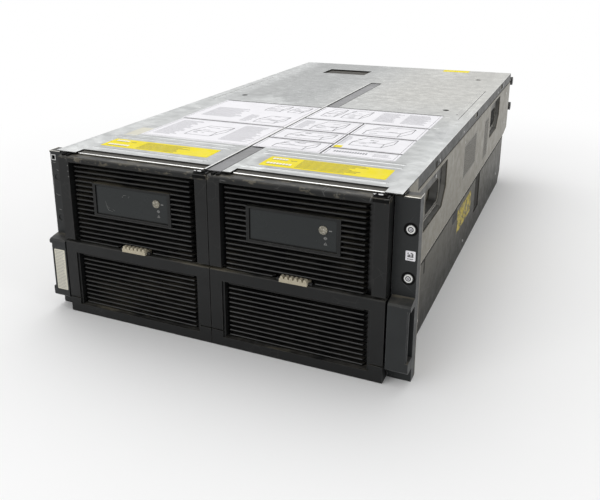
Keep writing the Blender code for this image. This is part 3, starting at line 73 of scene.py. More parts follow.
def placed(name, data):
    """A new object in the scene."""
    made = bpy.data.objects.new(name, data)
    bpy.context.scene.collection.objects.link(made)
    return made


class Nodes:
    """Short calls for the nodes of a tree."""

    def __init__(self, tree):
        self.tree = tree

    def node(self, kind, inputs=(), **settings):
        made = self.tree.nodes.new("ShaderNode" + kind)
        for key, value in settings.items():
            setattr(made, key, value)
        for key, value in dict(inputs).items():
            self.feed(made.inputs[key], value)
        return made

    def feed(self, socket, value):
        if isinstance(value, bpy.types.NodeSocket):
            self.tree.links.new(value, socket)
        else:
            socket.default_value = value

    def math(self, operation, a, b=0.0):
        return self.node("Math", {0: a, 1: b}, operation=operation).outputs[0]

    def times(self, a, b):
        return self.math("MULTIPLY", a, b)


class Look(Nodes):
    """A material with short calls for its nodes. Lengths are metres in the object's own space."""

    made = {}

    def __init__(self, name, base, roughness, metallic=0.0, **fixed):
        self.material = self.made[name] = bpy.data.materials.new(name)
        self.material.use_nodes = True
        super().__init__(self.material.node_tree)
        self.shader = self.tree.nodes["Principled BSDF"]
        self.place = self.node("TexCoord").outputs["Object"]
        self.base = (*base, 1)
        self.height = None
        self.put("Base Color", self.base)
        self.put("Roughness", roughness)
        self.put("Metallic", metallic)
        for socket, value in fixed.items():
            self.put(socket.replace("_", " "), value)

    def put(self, name, value):
        self.feed(self.shader.inputs[name], value)

    def stretched(self, stretch, turn=0.0):
        inputs = {"Vector": self.place, "Scale": stretch, "Rotation": (0, 0, turn)}
        return self.node("Mapping", inputs).outputs["Vector"]

    def noise(self, scale, detail=3.0, rough=0.55, stretch=None, warp=0.0):
        place = self.stretched(stretch) if stretch else self.place
        inputs = {"Vector": place, "Scale": scale, "Detail": detail, "Roughness": rough, "Distortion": warp}
        return self.node("TexNoise", inputs).outputs[0]

    def cells(self, scale, feature="F1", stretch=None, turn=0.0, output="Distance"):
        place = self.stretched(stretch, turn) if stretch else self.place
        inputs = {"Vector": place, "Scale": scale}
        return self.node("TexVoronoi", inputs, feature=feature).outputs[output]

    def ramp(self, value, low, high, start=0.0, end=1.0):
        inputs = {"Value": value, "From Min": low, "From Max": high, "To Min": start, "To Max": end}
        return self.node("MapRange", inputs, interpolation_type="SMOOTHSTEP").outputs["Result"]

    def tint(self, factor, colour, share=1.0):
        """Lays a colour over the base by a share of a factor."""
        if share != 1.0:
            factor = self.times(factor, share)
        mix = self.node("Mix", {0: factor, 6: self.base, 7: (*colour, 1)}, data_type="RGBA")
        self.base = mix.outputs[2]
        self.put("Base Color", self.base)

    def gloss(self, noise, *steps):
        """Uneven roughness, a ramp of noise."""
        self.put("Roughness", self.ramp(self.noise(*noise), *steps))

    def relief(self, height, distance, strength):
        """Adds a bump on top of what is there."""
        inputs = {"Height": height, "Distance": distance, "Strength": strength}
        if self.height:
            inputs["Normal"] = self.height
        self.height = self.node("Bump", inputs).outputs["Normal"]
        self.put("Normal", self.height)

    def axis(self, name):
        return self.node("SeparateXYZ", {0: self.place}).outputs[name]

    def up(self):
        """How far the surface faces up."""
        normal = self.node("NewGeometry").outputs["Normal"]
        return self.node("SeparateXYZ", {0: normal}).outputs["Z"]

    def edges(self, radius):
        """A mask of the convex and concave edges."""
        rounded = self.node("Bevel", {"Radius": radius}, samples=4).outputs["Normal"]
        plain = self.node("NewGeometry").outputs["Normal"]
        dot = self.node("VectorMath", {0: rounded, 1: plain}, operation="DOT_PRODUCT").outputs["Value"]
        return self.ramp(self.math("SUBTRACT", 1.0, dot), 0.02, 0.22)

    def scratches(self, scale, width, turn, share=0.5):
        """Thin broken lines in one direction, 14 times as long as the cells are wide."""
        lines = self.cells(scale, "DISTANCE_TO_EDGE", (1.0, 1.0 / 14.0, 1.0), turn)
        thin = self.ramp(lines, 0.0, width, 1.0, 0.0)
        return self.times(thin, self.ramp(self.noise(scale * 0.35, 2.0), share, share + 0.08))


# Materials
def paint_cover_shade(look, base, side_shade):
    """Tones of the cover by place: painted shade towards its front and its rear left, streaks, lighter worn
    patches, a lighter and warmer tone towards its right rear, and painted shade on what faces sideways.
    """
    x, y = look.axis("X"), look.axis("Y")
    across = look.math("ABSOLUTE", x)
    # Painted shade towards the front of the cover, less near its sides
    front = look.times(look.ramp(y, -0.43, -0.2, 1.0, 0.45), look.ramp(x, -0.12, 0.1, 0.45, 0.85))
    look.tint(look.times(front, look.ramp(across, 0.19, 0.212, 1.0, 0.2)), scaled(base, 0.62))
    # Painted shade towards the rear left
    rear = look.times(look.ramp(y, -0.1, 0.0), look.ramp(x, -0.08, 0.03, 0.6, 0.0))
    look.tint(look.times(rear, look.ramp(across, 0.17, 0.2, 1.0, 0.1)), scaled(base, 0.62))
    lines = look.noise(60.0, 3.0, 0.6, (0.12, 4.0, 1.0))
    look.tint(look.ramp(lines, 0.55, 0.72, 0.0, 0.35), scaled(base, 0.78))
    worn = look.ramp(look.noise(7.0, 5.0, 0.65, (1.0, 0.5, 1.0)), 0.56, 0.64)
    look.tint(worn, scaled(base, 1.25), 0.5)
    look.tint(look.times(look.ramp(x, -0.08, 0.12), look.ramp(y, -0.2, 0.1)), (0.76, 0.74, 0.68), 0.5)
    # Painted shade on what faces sideways: the flange along the cover's sides
    look.tint(look.ramp(look.up(), 0.2, 0.6, 0.95, 0.0), side_shade)


def sheet_metal(
    name, base, dark, light, roughness, spangle=0.0, grain=(1, 1, 1), side_shade=None, cloud=0.8, edge=1.0
):
    """Plated sheet: cloudy, streaked and scuffed. With a side shade colour it also gets the cover's tones and
    painted shade.
    """
    look = Look(name, base, roughness, 0.85, Specular_Tint=(edge, edge, edge, 1))
    look.tint(look.ramp(look.noise(9.0, 4.0, 0.6, warp=0.6), 0.42, 0.72, 0.0, cloud), dark)
    look.tint(look.ramp(look.noise(26.0, 3.0, 0.6, grain), 0.5, 0.8, 0.0, 0.55), light)
    if spangle:
        cell = look.cells(spangle, output="Color")
        tone = look.node("SeparateColor", {0: cell}).outputs[0]
        look.tint(look.ramp(tone, 0.1, 0.9, 0.0, 0.4), light)
    for turn, width in ((0.5, 0.012), (-0.9, 0.009), (1.35, 0.008)):
        look.tint(look.scratches(34.0, width, turn), light, 0.55)
    look.tint(look.ramp(look.noise(420.0, 2.0), 0.66, 0.74), dark, 0.35)
    if side_shade:
        paint_cover_shade(look, base, side_shade)
    look.gloss((60.0, 4.0, 0.7), 0.25, 0.8, roughness - 0.07, roughness + 0.13)
    look.relief(look.noise(900.0, 2.0), 0.00003, 0.35)
    look.relief(look.noise(6.0, 2.0), 0.0012, 0.15 * cloud)


def moulded(name, base, worn, roughness, dust=0.35, sheen=0.25, rim=0.0009, coarse=0.5, crest=None):
    """Moulded plastic: fine grain, edges lighter for wear and as a painted highlight, dust on top, and dirt
    specks between the two crest heights.
    """
    look = Look(name, base, roughness, Specular_IOR_Level=sheen)
    look.tint(look.ramp(look.noise(14.0, 4.0), 0.4, 0.75, 0.0, 0.5), scaled(base, 1.6))
    # Lighter edges: partly wear, partly a painted highlight where the edges catch the light
    worn_and_lit_edges = look.times(look.edges(rim), look.ramp(look.noise(70.0, 3.0), 0.35, 0.62, 0.25, 1.0))
    look.tint(worn_and_lit_edges, worn, 0.6)
    dusty = look.times(look.ramp(look.up(), 0.35, 1.0), look.ramp(look.noise(38.0, 5.0, 0.7), 0.3, 0.75))
    look.tint(dusty, (0.17, 0.16, 0.14), dust)
    settled = look.ramp(look.noise(16.0, 5.0, 0.7, (0.5, 2.0, 1.0)), 0.5, 0.68)
    look.tint(look.times(look.ramp(look.up(), 0.5, 1.0), settled), (0.3, 0.27, 0.2), dust)
    if dust > 0.25:
        look.tint(look.times(look.ramp(look.up(), 0.1, 0.6), settled), (0.21, 0.18, 0.12), dust * 0.7)
    if crest:
        top = look.ramp(look.axis("Z"), *crest)
        specks = look.ramp(look.noise(120.0, 5.0, 0.7, (0.5, 1.0, 1.0)), 0.56, 0.62)
        look.tint(look.times(specks, top), (0.13, 0.115, 0.085), 0.65)
        look.tint(look.times(look.scratches(70.0, 0.02, 1.45, share=0.58), top), (0.3, 0.3, 0.29), 0.6)
    for turn in (0.4, -0.7):
        look.tint(look.scratches(46.0, 0.008, turn, share=0.56), worn, 0.45)
    look.gloss((90.0, 4.0, 0.7), 0.2, 0.85, roughness - 0.06, roughness + 0.12)
    look.relief(look.noise(2600.0, 1.0), 0.00004, coarse)


def plain(name, base, roughness, metallic=0.0, scale=120.0, spread=0.25, bump=0.00002, **fixed):
    """A small part's surface: a little uneven in tone and gloss."""
    look = Look(name, base, roughness, metallic, **fixed)
    look.tint(look.ramp(look.noise(scale, 4.0, 0.6), 0.35, 0.8, 0.0, spread), scaled(base, 0.55))
    look.gloss((scale * 2.3, 3.0), 0.2, 0.8, roughness - 0.05, roughness + 0.1)
    look.relief(look.noise(scale * 9, 2.0), bump, 0.5)


def lower_wall(name, base, roughness):
    """Plating of the lower walls, with painted shade towards their foot."""
    look = Look(name, base, roughness, 0.92, Specular_Tint=(0.62, 0.62, 0.62, 1))
    # Painted shade, darker towards the foot
    look.tint(look.ramp(look.axis("Z"), 0.1, 0.0, 0.0, 0.85), (0.045, 0.0455, 0.043))
    look.tint(look.ramp(look.noise(30.0, 4.0, 0.6, (1.0, 1.0, 0.15)), 0.5, 0.75, 0.0, 0.3), (0.155, 0.15, 0.13))
    look.tint(look.ramp(look.noise(500.0, 2.0), 0.6, 0.75, 0.0, 0.4), (0.06, 0.057, 0.05))
    for turn in (0.6, -0.8):
        look.tint(look.scratches(30.0, 0.008, turn), (0.26, 0.25, 0.22), 0.3)
    look.gloss((60.0, 4.0, 0.7), 0.25, 0.8, 0.33, 0.52)
    look.relief(look.noise(900.0, 2.0), 0.00003, 0.35)


def gilt(name, base, roughness):
    """Coarse gilt of the display buttons."""
    look = Look(name, base, roughness, 0.4)
    look.tint(look.ramp(look.cells(900.0), 0.2, 0.7, 0.0, 0.9), (0.1, 0.095, 0.08))
    look.tint(look.ramp(look.noise(500.0, 3.0), 0.5, 0.7, 0.0, 0.8), (0.55, 0.53, 0.46))
    look.gloss((300.0,), 0.3, 0.7, 0.25, 0.5)
    look.relief(look.noise(1200.0), 0.00008, 0.6)


# The cover's sheet, with painted shade on its sideways flange and broad areas
sheet_metal(
    "lid_metal", (0.69, 0.705, 0.7), (0.56, 0.575, 0.575), (0.84, 0.85, 0.85), 0.34, 55.0, (3.0, 0.35, 1.0),
    side_shade=(0.048, 0.0476, 0.0455), edge=0.6
)
sheet_metal(
    "zinc", (0.205, 0.191, 0.157), (0.155, 0.144, 0.116), (0.26, 0.246, 0.21), 0.42, 0.0,
    (0.4, 0.4, 4.0), cloud=0.4
)
lower_wall("wall_zinc", (0.145, 0.139, 0.122), 0.42)
# Zinc of the hand pockets, darker as painted shade in their recess
sheet_metal("pocket_zinc_in_shade", (0.095, 0.093, 0.086), (0.06, 0.059, 0.055), (0.16, 0.155, 0.14), 0.45)
sheet_metal("flange_zinc", (0.215, 0.215, 0.222), (0.16, 0.16, 0.16), (0.33, 0.33, 0.33), 0.36)
sheet_metal("rail_steel", (0.5, 0.5, 0.5), (0.36, 0.36, 0.36), (0.62, 0.62, 0.61), 0.3, 0.0, (9, 0.2, 9))
sheet_metal("module_steel", (0.45, 0.45, 0.44), (0.34, 0.34, 0.33), (0.56, 0.56, 0.55), 0.33)
moulded("bezel_plastic", (0.0075, 0.0078, 0.0078), (0.075, 0.073, 0.068), 0.42, 0.28, crest=(0.2075, 0.211))
moulded(
    "louvre_plastic", (0.004, 0.004, 0.0042), (0.035, 0.035, 0.035), 0.3, 0.12,
    sheen=0.34, rim=0.0002, coarse=0.12
)
moulded("ear_plastic", (0.0175, 0.019, 0.0195), (0.16, 0.165, 0.17), 0.4)
moulded("lever_black", (0.022, 0.022, 0.022), (0.1, 0.1, 0.1), 0.4, 0.3)
moulded("fan_black", (0.02, 0.02, 0.021), (0.09, 0.09, 0.09), 0.45, 0.4)
moulded("latch_ivory", (0.42, 0.375, 0.28), (0.62, 0.59, 0.5), 0.45, 0.2)
plain("button_white", (0.78, 0.78, 0.76), 0.36)
plain("window_slate", (0.013, 0.0158, 0.0162), 0.2, 0.0, 30.0, 0.3, 0.00001, Specular_IOR_Level=0.3)
sheet_metal("drive_metal", (0.3, 0.31, 0.32), (0.2, 0.2, 0.21), (0.42, 0.43, 0.44), 0.4)
gilt("key_gilt", (0.3, 0.275, 0.21), 0.35)

# Nodes whose look isn't the one named after their slot
OTHER_LOOKS = {
    "divider_and_bulkhead": "flange_zinc",
    "chassis_base": "wall_zinc",
}
for side in SIDES:
    OTHER_LOOKS[f"display_button_{side}"] = "key_gilt"
    # The hand pockets take zinc darkened as painted shade
    for place in ("front", "rear"):
        OTHER_LOOKS[f"hand_pocket_{place}_{side}"] = "pocket_zinc_in_shade"
for part in frame["record"]["subparts"]:
    surfaces = NODES[part["node"]].data.materials
    surfaces.clear()
    surfaces.append(Look.made[OTHER_LOOKS.get(part["node"], part["material_slot"])])

# Camera, solved from the photograph
camera = placed("camera", bpy.data.cameras.new("camera"))
bpy.context.scene.camera = camera
right = Vector((0.90790163, 0.41911758, -0.00742189))
down = Vector((0.11780192, -0.27209714, -0.95503186))
ahead = Vector((-0.40229011, 0.86620067, -0.29641029))
turn = Matrix((right, -down, -ahead)).transposed()
camera.matrix_world = Matrix.Translation((0.39246, -1.12985, 0.44872)) @ turn.to_4x4()
camera.data.sensor_width = 36
camera.data.lens = 42.751
camera.data.shift_x = 0.0474
camera.data.shift_y = -0.1176
camera.data.dof.use_dof = False
bpy.context.scene.view_settings.view_transform = "Standard"


# Studio
def lamp(name, place, size, power, target=(0, 0, 0.1), colour=(1, 1, 1)):
    data = bpy.data.lights.new(name, "AREA")
    data.shape = "RECTANGLE"
    data.size, data.size_y = size
    data.energy = power
    data.color = colour
    made = placed(name, data)
    made.location = place
    made.rotation_euler = (Vector(target) - Vector(place)).to_track_quat("-Z", "Y").to_euler()


lamp("softbox_top", (-0.5, 0.6, 2.4), (2.2, 2.6), 34)
lamp("softbox_front", (-0.9, -2.4, 1.5), (1.6, 1.2), 16)
lamp("softbox_right", (2.3, -0.6, 1.3), (1.4, 1.4), 9)

world = bpy.data.worlds.new("studio")
bpy.context.scene.world = world
world.use_nodes = True
studio = Nodes(world.node_tree)
ray = studio.node("LightPath").outputs
seen = studio.math("MAXIMUM", ray["Is Camera Ray"], ray["Is Transmission Ray"])
clear = studio.math("MAXIMUM", seen, studio.times(ray["Is Glossy Ray"], 0.85))
level = studio.node("MapRange", {"Value": clear, "To Min": 0.55, "To Max": 1.0})
background = world.node_tree.nodes["Background"].inputs
studio.feed(background["Strength"], level.outputs["Result"])
studio.feed(background["Color"], (1, 1, 1, 1))

floor_mesh = bmesh.new()
bmesh.ops.create_circle(floor_mesh, cap_ends=True, segments=96, radius=7.0)
floor_data = bpy.data.meshes.new("floor")
floor_mesh.to_mesh(floor_data)
floor = placed("floor", floor_data)
look = Look("floor", (0.88, 0.88, 0.88), 0.7)
away = look.node("VectorMath", {0: look.place}, operation="LENGTH").outputs["Value"]
ray = look.node("LightPath").outputs
sees = look.math("MAXIMUM", ray["Is Camera Ray"], ray["Is Glossy Ray"])
white = look.node("Emission", {"Color": (1, 1, 1, 1), "Strength": 1.0})
look.tint(look.ramp(look.noise(3.0), 0.3, 0.7, 0.0, 0.3), (0.85, 0.85, 0.85))
fade = look.times(look.ramp(away, 0.45, 1.15), sees)
blend = look.node("MixShader", {0: fade, 1: look.shader.outputs[0], 2: white.outputs[0]})
look.feed(look.tree.nodes["Material Output"].inputs["Surface"], blend.outputs[0])
floor_data.materials.append(look.material)


# Piece making
def piece(name, bm, look, body="chassis", slot=None, smooth=True):
    """A new piece from a finished mesh, riding on a body."""
    bmesh.ops.recalc_face_normals(bm, faces=bm.faces)
    data = bpy.data.meshes.new(name)
    bm.to_mesh(data)
    bm.free()
    if smooth:
        data.shade_smooth()
        data.set_sharp_from_angle(angle=math.radians(35))
    data.materials.append(Look.made[look])
    made = placed(name, data)
    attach(made, body)


def flat(name, bm, look, body="chassis", slot=None):
    """A piece whose faces are shaded one by one."""
    piece(name, bm, look, body, slot, False)


def bridge(bm, rings, closed=False):
    """Faces from ring to ring, all with the same number of points."""
    for one, two in zip(rings, rings[1:] + rings[:1] * closed):
        for i in range(len(one)):
            j = (i + 1) % len(one)
            bm.faces.new((one[i], one[j], two[j], two[i]))


def prism(bm, axis, outline, low, high):
    """A closed prism: its outline is in the other two axes, in X, Y, Z order."""
    rings = []
    for along in (low, high):
        places = [{"X": (along, a, b), "Y": (a, along, b), "Z": (a, b, along)}[axis] for a, b in outline]
        rings.append([bm.verts.new(place) for place in places])
        bm.faces.new(rings[-1])
    bridge(bm, rings)


def corners(x, z):
    return (x[0], z[0]), (x[1], z[0]), (x[1], z[1]), (x[0], z[1])


def border(x, z, wide, tall=None):
    """The four strips of a frame just inside a rectangle."""
    tall = tall or wide
    inside = (z[0] + tall, z[1] - tall)
    return (
        (x, (z[0], z[0] + tall)), (x, (z[1] - tall, z[1])),
        ((x[0], x[0] + wide), inside), ((x[1] - wide, x[1]), inside),
    )


def box(bm, x, d, z):
    """A block between two x, two depths and two z."""
    prism(bm, "Y", corners(x, z), *depths(d))


def rounded(x, y, radius, steps=3):
    """A rectangle with round corners."""
    points = []
    square = ((x[1], y[1]), (x[0], y[1]), (x[0], y[0]), (x[1], y[0]))
    for i, (a, b) in enumerate(square):
        ca = a - math.copysign(radius, a - sum(x) / 2)
        cb = b - math.copysign(radius, b - sum(y) / 2)
        for k in range(steps + 1):
            angle = math.radians(90 * i + 90 * k / steps)
            points.append((ca + radius * math.cos(angle), cb + radius * math.sin(angle)))
    return points


def circle(a, b, radius, sides=24, start=0.0):
    turns = [start + 2 * math.pi * i / sides for i in range(sides)]
    return [(a + radius * math.cos(t), b + radius * math.sin(t)) for t in turns]


def lathe(bm, axis, centre, profile, sides=24):
    """A closed turned solid: profile is (radius, place along the axis), first and last radius 0."""
    u, v, w = {"X": (1, 2, 0), "Y": (0, 2, 1), "Z": (0, 1, 2)}[axis]
    rings = []
    for radius, along in profile:
        ring = []
        for i in range(sides if radius else 1):
            place = [0.0, 0.0, 0.0]
            place[u] = centre[u] + radius * math.cos(2 * math.pi * i / sides)
            place[v] = centre[v] + radius * math.sin(2 * math.pi * i / sides)
            place[w] = centre[w] + along
            ring.append(bm.verts.new(place))
        rings.append(ring)
    for first, second in zip(rings, rings[1:]):
        for i in range(sides):
            j = (i + 1) % sides
            ends = [ring[k % len(ring)] for ring, k in ((first, i), (first, j), (second, j), (second, i))]
            bm.faces.new(list(dict.fromkeys(ends)))


def tube(bm, points, radius, sides=8, closed=False):
    """A round bar along points. An open one is capped."""
    points = [Vector(p) for p in points]
    count = len(points)
    rings = []
    side = None
    for i, point in enumerate(points):
        before = points[i - 1] if i or closed else points[i]
        after = points[(i + 1) % count] if i < count - 1 or closed else points[i]
        along = (after - before).normalized()
        side = (side - along * side.dot(along)).normalized() if side else along.orthogonal().normalized()
        other = along.cross(side)
        turns = [2 * math.pi * k / sides for k in range(sides)]
        rings.append([bm.verts.new(point + radius * (math.cos(t) * side + math.sin(t) * other)) for t in turns])
    if closed:
        first = rings[0]
        best = min(range(sides), key=lambda k: (rings[-1][0].co - first[k].co).length)
        rings.append(first[best:] + first[:best])
    else:
        bm.faces.new(rings[0])
        bm.faces.new(rings[-1])
    bridge(bm, rings)


# Labels
def paper(name, base, crease=0.3, sheen=0.5):
    """Printed label stock, scuffed and slightly creased."""
    look = Look(name, base, 0.5, Specular_IOR_Level=sheen)
    look.tint(look.ramp(look.noise(26.0, 4.0), 0.4, 0.8, 0.0, 0.5), scaled(base, 0.86))
    for turn in (0.3, -1.0):
        look.tint(look.scratches(60.0, 0.01, turn, share=0.58), scaled(base, 0.55), crease)
    look.tint(look.ramp(look.noise(300.0, 2.0), 0.68, 0.76, 0.0, 0.3), scaled(base, 0.6))
    look.gloss((80.0, 3.0), 0.3, 0.7, 0.38, 0.6)
    look.relief(look.noise(45.0, 3.0), 0.0004, 0.12)


def rubbed_paper(name, base, roughness):
    """Label stock whose colour is rubbed off in patches."""
    look = Look(name, base, roughness, Specular_IOR_Level=0.2)
    for size, low, high, tone in (
        (75.0, 0.5, 0.54, (0.085, 0.078, 0.048)),
        (160.0, 0.56, 0.6, (0.04, 0.038, 0.03)),
        (110.0, 0.62, 0.66, (0.5, 0.42, 0.1)),
    ):
        look.tint(look.ramp(look.noise(size, 4.0, 0.65, (1.0, 0.8, 1.3), warp=0.8), low, high, 0.0, 0.85), tone)
    look.gloss((80.0,), 0.3, 0.7, 0.4, 0.6)
    look.relief(look.noise(60.0, 3.0), 0.0004, 0.15)


paper("label_white", (0.8, 0.79, 0.82))
paper("label_yellow", (0.82, 0.69, 0.01), 0.2, 0.12)
paper("label_aged", (0.62, 0.6, 0.5), 0.5)
rubbed_paper("label_rubbed", (0.46, 0.36, 0.035), 0.5)
plain("print_grey", (0.2, 0.2, 0.22), 0.6)
plain("print_dark", (0.1, 0.1, 0.11), 0.6)
plain("ink_ochre", (0.13, 0.1, 0.01), 0.5)
plain("carrier_dark", (0.055, 0.057, 0.06), 0.5)
# Near black, for painted shade in holes, openings and gaps, and for dark print
plain("hole_dark", (0.012, 0.012, 0.012), 0.7)
plain("screw_steel", (0.55, 0.55, 0.54), 0.3, 0.9, 400.0)

# Thickness of a label and of its print, and the two levels of print on the cover's labels
LABEL = 0.00015
STEP = 0.00006
INK = (TOP + LABEL, TOP + LABEL + STEP)


def sticker(name, look, x, d, level=TOP, thick=LABEL):
    """A thin label lying on the cover."""
    bm = bmesh.new()
    prism(bm, "Z", rounded(x, depths(d), 0.0015), level, level + thick)
    piece(name, bm, look)


def rules(bm, x, d, pitch, width, rng):
    """Rows of printed rules of uneven length, a stand-in for what is printed there."""
    at = d[0]
    while at < d[1]:
        box(bm, (x[0], x[0] + (x[1] - x[0]) * rng.uniform(0.72, 1.0)), (at, at + width), INK)
        at += pitch


def line(bm, start, end, width):
    """A thin printed stroke between two places, each an x and a depth."""
    (x0, d0), (x1, d1) = start, end
    long = math.hypot(x1 - x0, d1 - d0)
    a, b = -(d1 - d0) / long * width / 2, (x1 - x0) / long * width / 2
    outline = ((x0 + a, d0 + b), (x0 - a, d0 - b), (x1 - a, d1 - b), (x1 + a, d1 + b))
    prism(bm, "Z", [(x, depth(d)) for x, d in outline], *INK)


def sketch(bm, x, d, rng):
    """A printed outline of a box seen from a corner, with a few strokes on its faces."""
    (x0, x1), (d0, d1) = x, d
    lean, fold, half = (x1 - x0) * 0.22, d0 + (d1 - d0) * 0.42, d0 + (d1 - d0) * 0.5
    for path in (
        ((x0, d0), (x1 - lean, d0), (x1 - lean, fold)),
        ((x0, d0), (x0, fold), (x1 - lean, fold), (x1, d1), (x1, half), (x1 - lean, d0)),
        ((x0, fold), (x0 + lean, d1), (x1, d1)),
    ):
        for a, b in zip(path, path[1:]):
            line(bm, a, b, 0.001)
    for _ in range(7):
        a = rng.uniform(x0 + 0.002, x1 - lean - 0.009)
        b = rng.uniform(d0 + 0.002, d1 - 0.003)
        line(bm, (a, b), (a + rng.uniform(0.004, 0.012), b + rng.uniform(-0.001, 0.001)), 0.0011)


sticker("cover_label_yellow_right", "label_yellow", (0.041, 0.194), (0.051, 0.091))
sticker("cover_label_yellow_left", "label_yellow", (-0.188, -0.0295), (0.053, 0.09))

# Each panel of the instruction labels, by x and depth
LEFT_PANELS = (((-0.1785, -0.0085), (0.2395, 0.388)), ((-0.1745, -0.0085), (0.124, 0.237)))
RIGHT_PANELS = (
    ((-0.004, 0.184), (0.3075, 0.399)),
    ((-0.004, 0.0885), (0.2345, 0.3055)),
    ((0.0905, 0.184), (0.2345, 0.3055)),
    ((-0.004, 0.0885), (0.1785, 0.2325)),
    ((-0.004, 0.0885), (0.126, 0.1765)),
    ((0.0905, 0.184), (0.16, 0.2325)),
    ((0.0905, 0.184), (0.126, 0.158)),
)
bm = bmesh.new()
for name, panels in (("left", LEFT_PANELS), ("right", RIGHT_PANELS)):
    sheets = bmesh.new()
    for (x0, x1), (d0, d1) in panels:
        prism(sheets, "Z", rounded((x0, x1), depths((d0, d1)), 0.0012), TOP, TOP + LABEL)
        # Painted shadow along each panel's back edge, and beside the right edge of the narrow right panels
        box(bm, (x0, x1), (d1 - 0.001, d1 + 0.0026), (TOP, TOP + LABEL * 1.3))
        if name == "right" and x1 < 0.1:
            box(bm, (x1 - 0.0001, x1 + 0.0021), (d0, d1 - 0.001), (TOP, TOP + LABEL * 1.3))
    piece(f"cover_label_panels_{name}", sheets, "label_white")
flat("cover_label_shadows", bm, "hole_dark")

rng = random.Random(7)
bm = bmesh.new()
for (x0, x1), (d0, d1) in LEFT_PANELS + RIGHT_PANELS:
    for x, d in border((x0 + 0.003, x1 - 0.003), (d0 + 0.003, d1 - 0.0035), 0.0005):
        box(bm, x, d, INK)
for x, d in (
    ((-0.085, -0.052), (0.335, 0.375)),
    ((-0.046, -0.018), (0.335, 0.375)),
    ((-0.066, -0.024), (0.255, 0.3)),
    ((-0.12, -0.07), (0.15, 0.205)),
    ((0.012, 0.038), (0.33, 0.385)),
    ((0.044, 0.08), (0.33, 0.385)),
    ((0.028, 0.072), (0.243, 0.295)),
    ((0.106, 0.168), (0.243, 0.294)),
    ((0.014, 0.078), (0.188, 0.224)),
    ((0.108, 0.162), (0.18, 0.224)),
    ((0.02, 0.074), (0.134, 0.17)),
):
    sketch(bm, x, d, rng)
flat("cover_label_outlines", bm, "print_dark")
bm = bmesh.new()
for x, d in (
    ((-0.163, -0.098), (0.27, 0.33)),
    ((-0.09, -0.072), (0.255, 0.3)),
    ((-0.165, -0.128), (0.14, 0.225)),
    ((-0.062, -0.016), (0.14, 0.225)),
    ((0.095, 0.13), (0.325, 0.388)),
    ((0.136, 0.174), (0.325, 0.388)),
    ((0.004, 0.022), (0.245, 0.292)),
    ((0.092, 0.102), (0.18, 0.222)),
):
    rules(bm, x, d, 0.0046, 0.0012, rng)
for i in range(13):
    box(bm, (0.101 + i * 0.0034, 0.1032 + i * 0.0034), (0.1405, 0.1475), INK)
rules(bm, (0.152, 0.176), (0.137, 0.147), 0.0046, 0.001, rng)
flat("cover_label_rules", bm, "print_grey")
sticker("cover_label_small_yellow", "label_yellow", (0.0925, 0.1035), (0.162, 0.173), INK[0], STEP)
sticker("cover_label_aged", "label_aged", (-0.194, -0.175), (0.112, 0.159))
sticker("cover_label_rear", "label_yellow", (0.089, 0.142), (0.843, 0.866))


# Front of the drawers
def front_plate(bm, x, z, d, thick=0.0001, radius=0.0):
    """A thin plate that faces the front, its face at the depth d."""
    outline = rounded(x, z, radius) if radius else corners(x, z)
    prism(bm, "Y", outline, depth(d), depth(d) + thick)


def front_disc(bm, x, z, radius, d, thick=0.0001, sides=28):
    prism(bm, "Y", circle(x, z, radius, sides), depth(d), depth(d) + thick)


def front_ring(bm, x, z, outer, inner, d, thick=0.0001, sides=28):
    """A flat ring that faces the front."""
    rings = []
    for radius, level in ((outer, 0), (inner, 0), (inner, thick), (outer, thick)):
        rings.append([bm.verts.new((a, depth(d) + level, b)) for a, b in circle(x, z, radius, sides)])
    bridge(bm, rings, True)


plain("vent_steel", (0.2, 0.19, 0.165), 0.45, 0.7, 200.0)
# Bright metal for painted highlights on edges and tabs
plain("edge_highlight", (0.62, 0.6, 0.55), 0.28, 0.9, 200.0)
plain("mark_pale", (0.2, 0.2, 0.195), 0.5)
plain("rim_slate", (0.009, 0.0095, 0.01), 0.4, Specular_IOR_Level=0.2)
plain("mesh_black", (0.004, 0.004, 0.004), 0.8, Specular_IOR_Level=0.1)
plain("chrome", (0.8, 0.8, 0.8), 0.16, 0.95, 300.0)
moulded("hook_black", (0.012, 0.012, 0.013), (0.08, 0.08, 0.08), 0.35, 0.2)

# Each bezel's left edge, and places measured from there
BEZEL_LEFT = {"left": -0.2135, "right": 0.0005}
BEZEL_WIDTH = 0.213
BEZEL_TOP = 0.215
KEY_X = 0.1396
KEY_Z = 0.168
WINDOW_X = (0.0508, 0.156)
WINDOW_Z = (0.1436, 0.1811)
# Depths of the screens behind the louvres, of the print on the display, and of the window's rim
SCREEN = 0.0176
PRINT = 0.00592
RIM = 0.00594
# Blocks and wire of the catch on a bezel's top, by x from its corner, depth, and height over the bezel
CATCH = 0.1965
CATCH_SEAT = (
    ((-0.0015, 0.0162), (0.0012, 0.016), (-0.0002, 0.0004)),
    ((-0.0015, 0.0162), (-0.0001, 0.0001), (-0.0052, -0.0016)),
    ((0.001, 0.003), (0.004, 0.0155), (0.0004, 0.0012)),
    ((0.012, 0.014), (0.004, 0.0155), (0.0004, 0.0014)),
    ((0.0032, 0.0118), (0.004, 0.0092), (0.0004, 0.0026)),
    ((-0.003, 0.001), (0.006, 0.01), (0.0, 0.0018)),
    ((-0.1925, -0.1891), (0.003, 0.0092), (0.0, 0.002)),
    ((-0.186, -0.1826), (0.003, 0.0092), (0.0, 0.002)),
)
CATCH_SPRING = (
    ((0.0035, 0.0085), (0.0038, 0.0046), (0.002, 0.0029)),
    ((-0.0025, 0.0005), (0.0058, 0.0066), (0.0012, 0.002)),
    ((0.0138, 0.0146), (0.0035, 0.012), (0.0004, 0.001)),
)
CATCH_WIRE = (
    (0.0042, 0.0135, 0.0011), (0.0042, 0.0085, 0.0012), (0.007, 0.007, 0.0013),
    (0.0098, 0.0085, 0.0012), (0.0098, 0.011, 0.0011),
)


def catch_blocks(bm, x, blocks):
    for (x0, x1), d, (low, high) in blocks:
        box(bm, (x + x0, x + x1), d, (BEZEL_TOP + low, BEZEL_TOP + high))


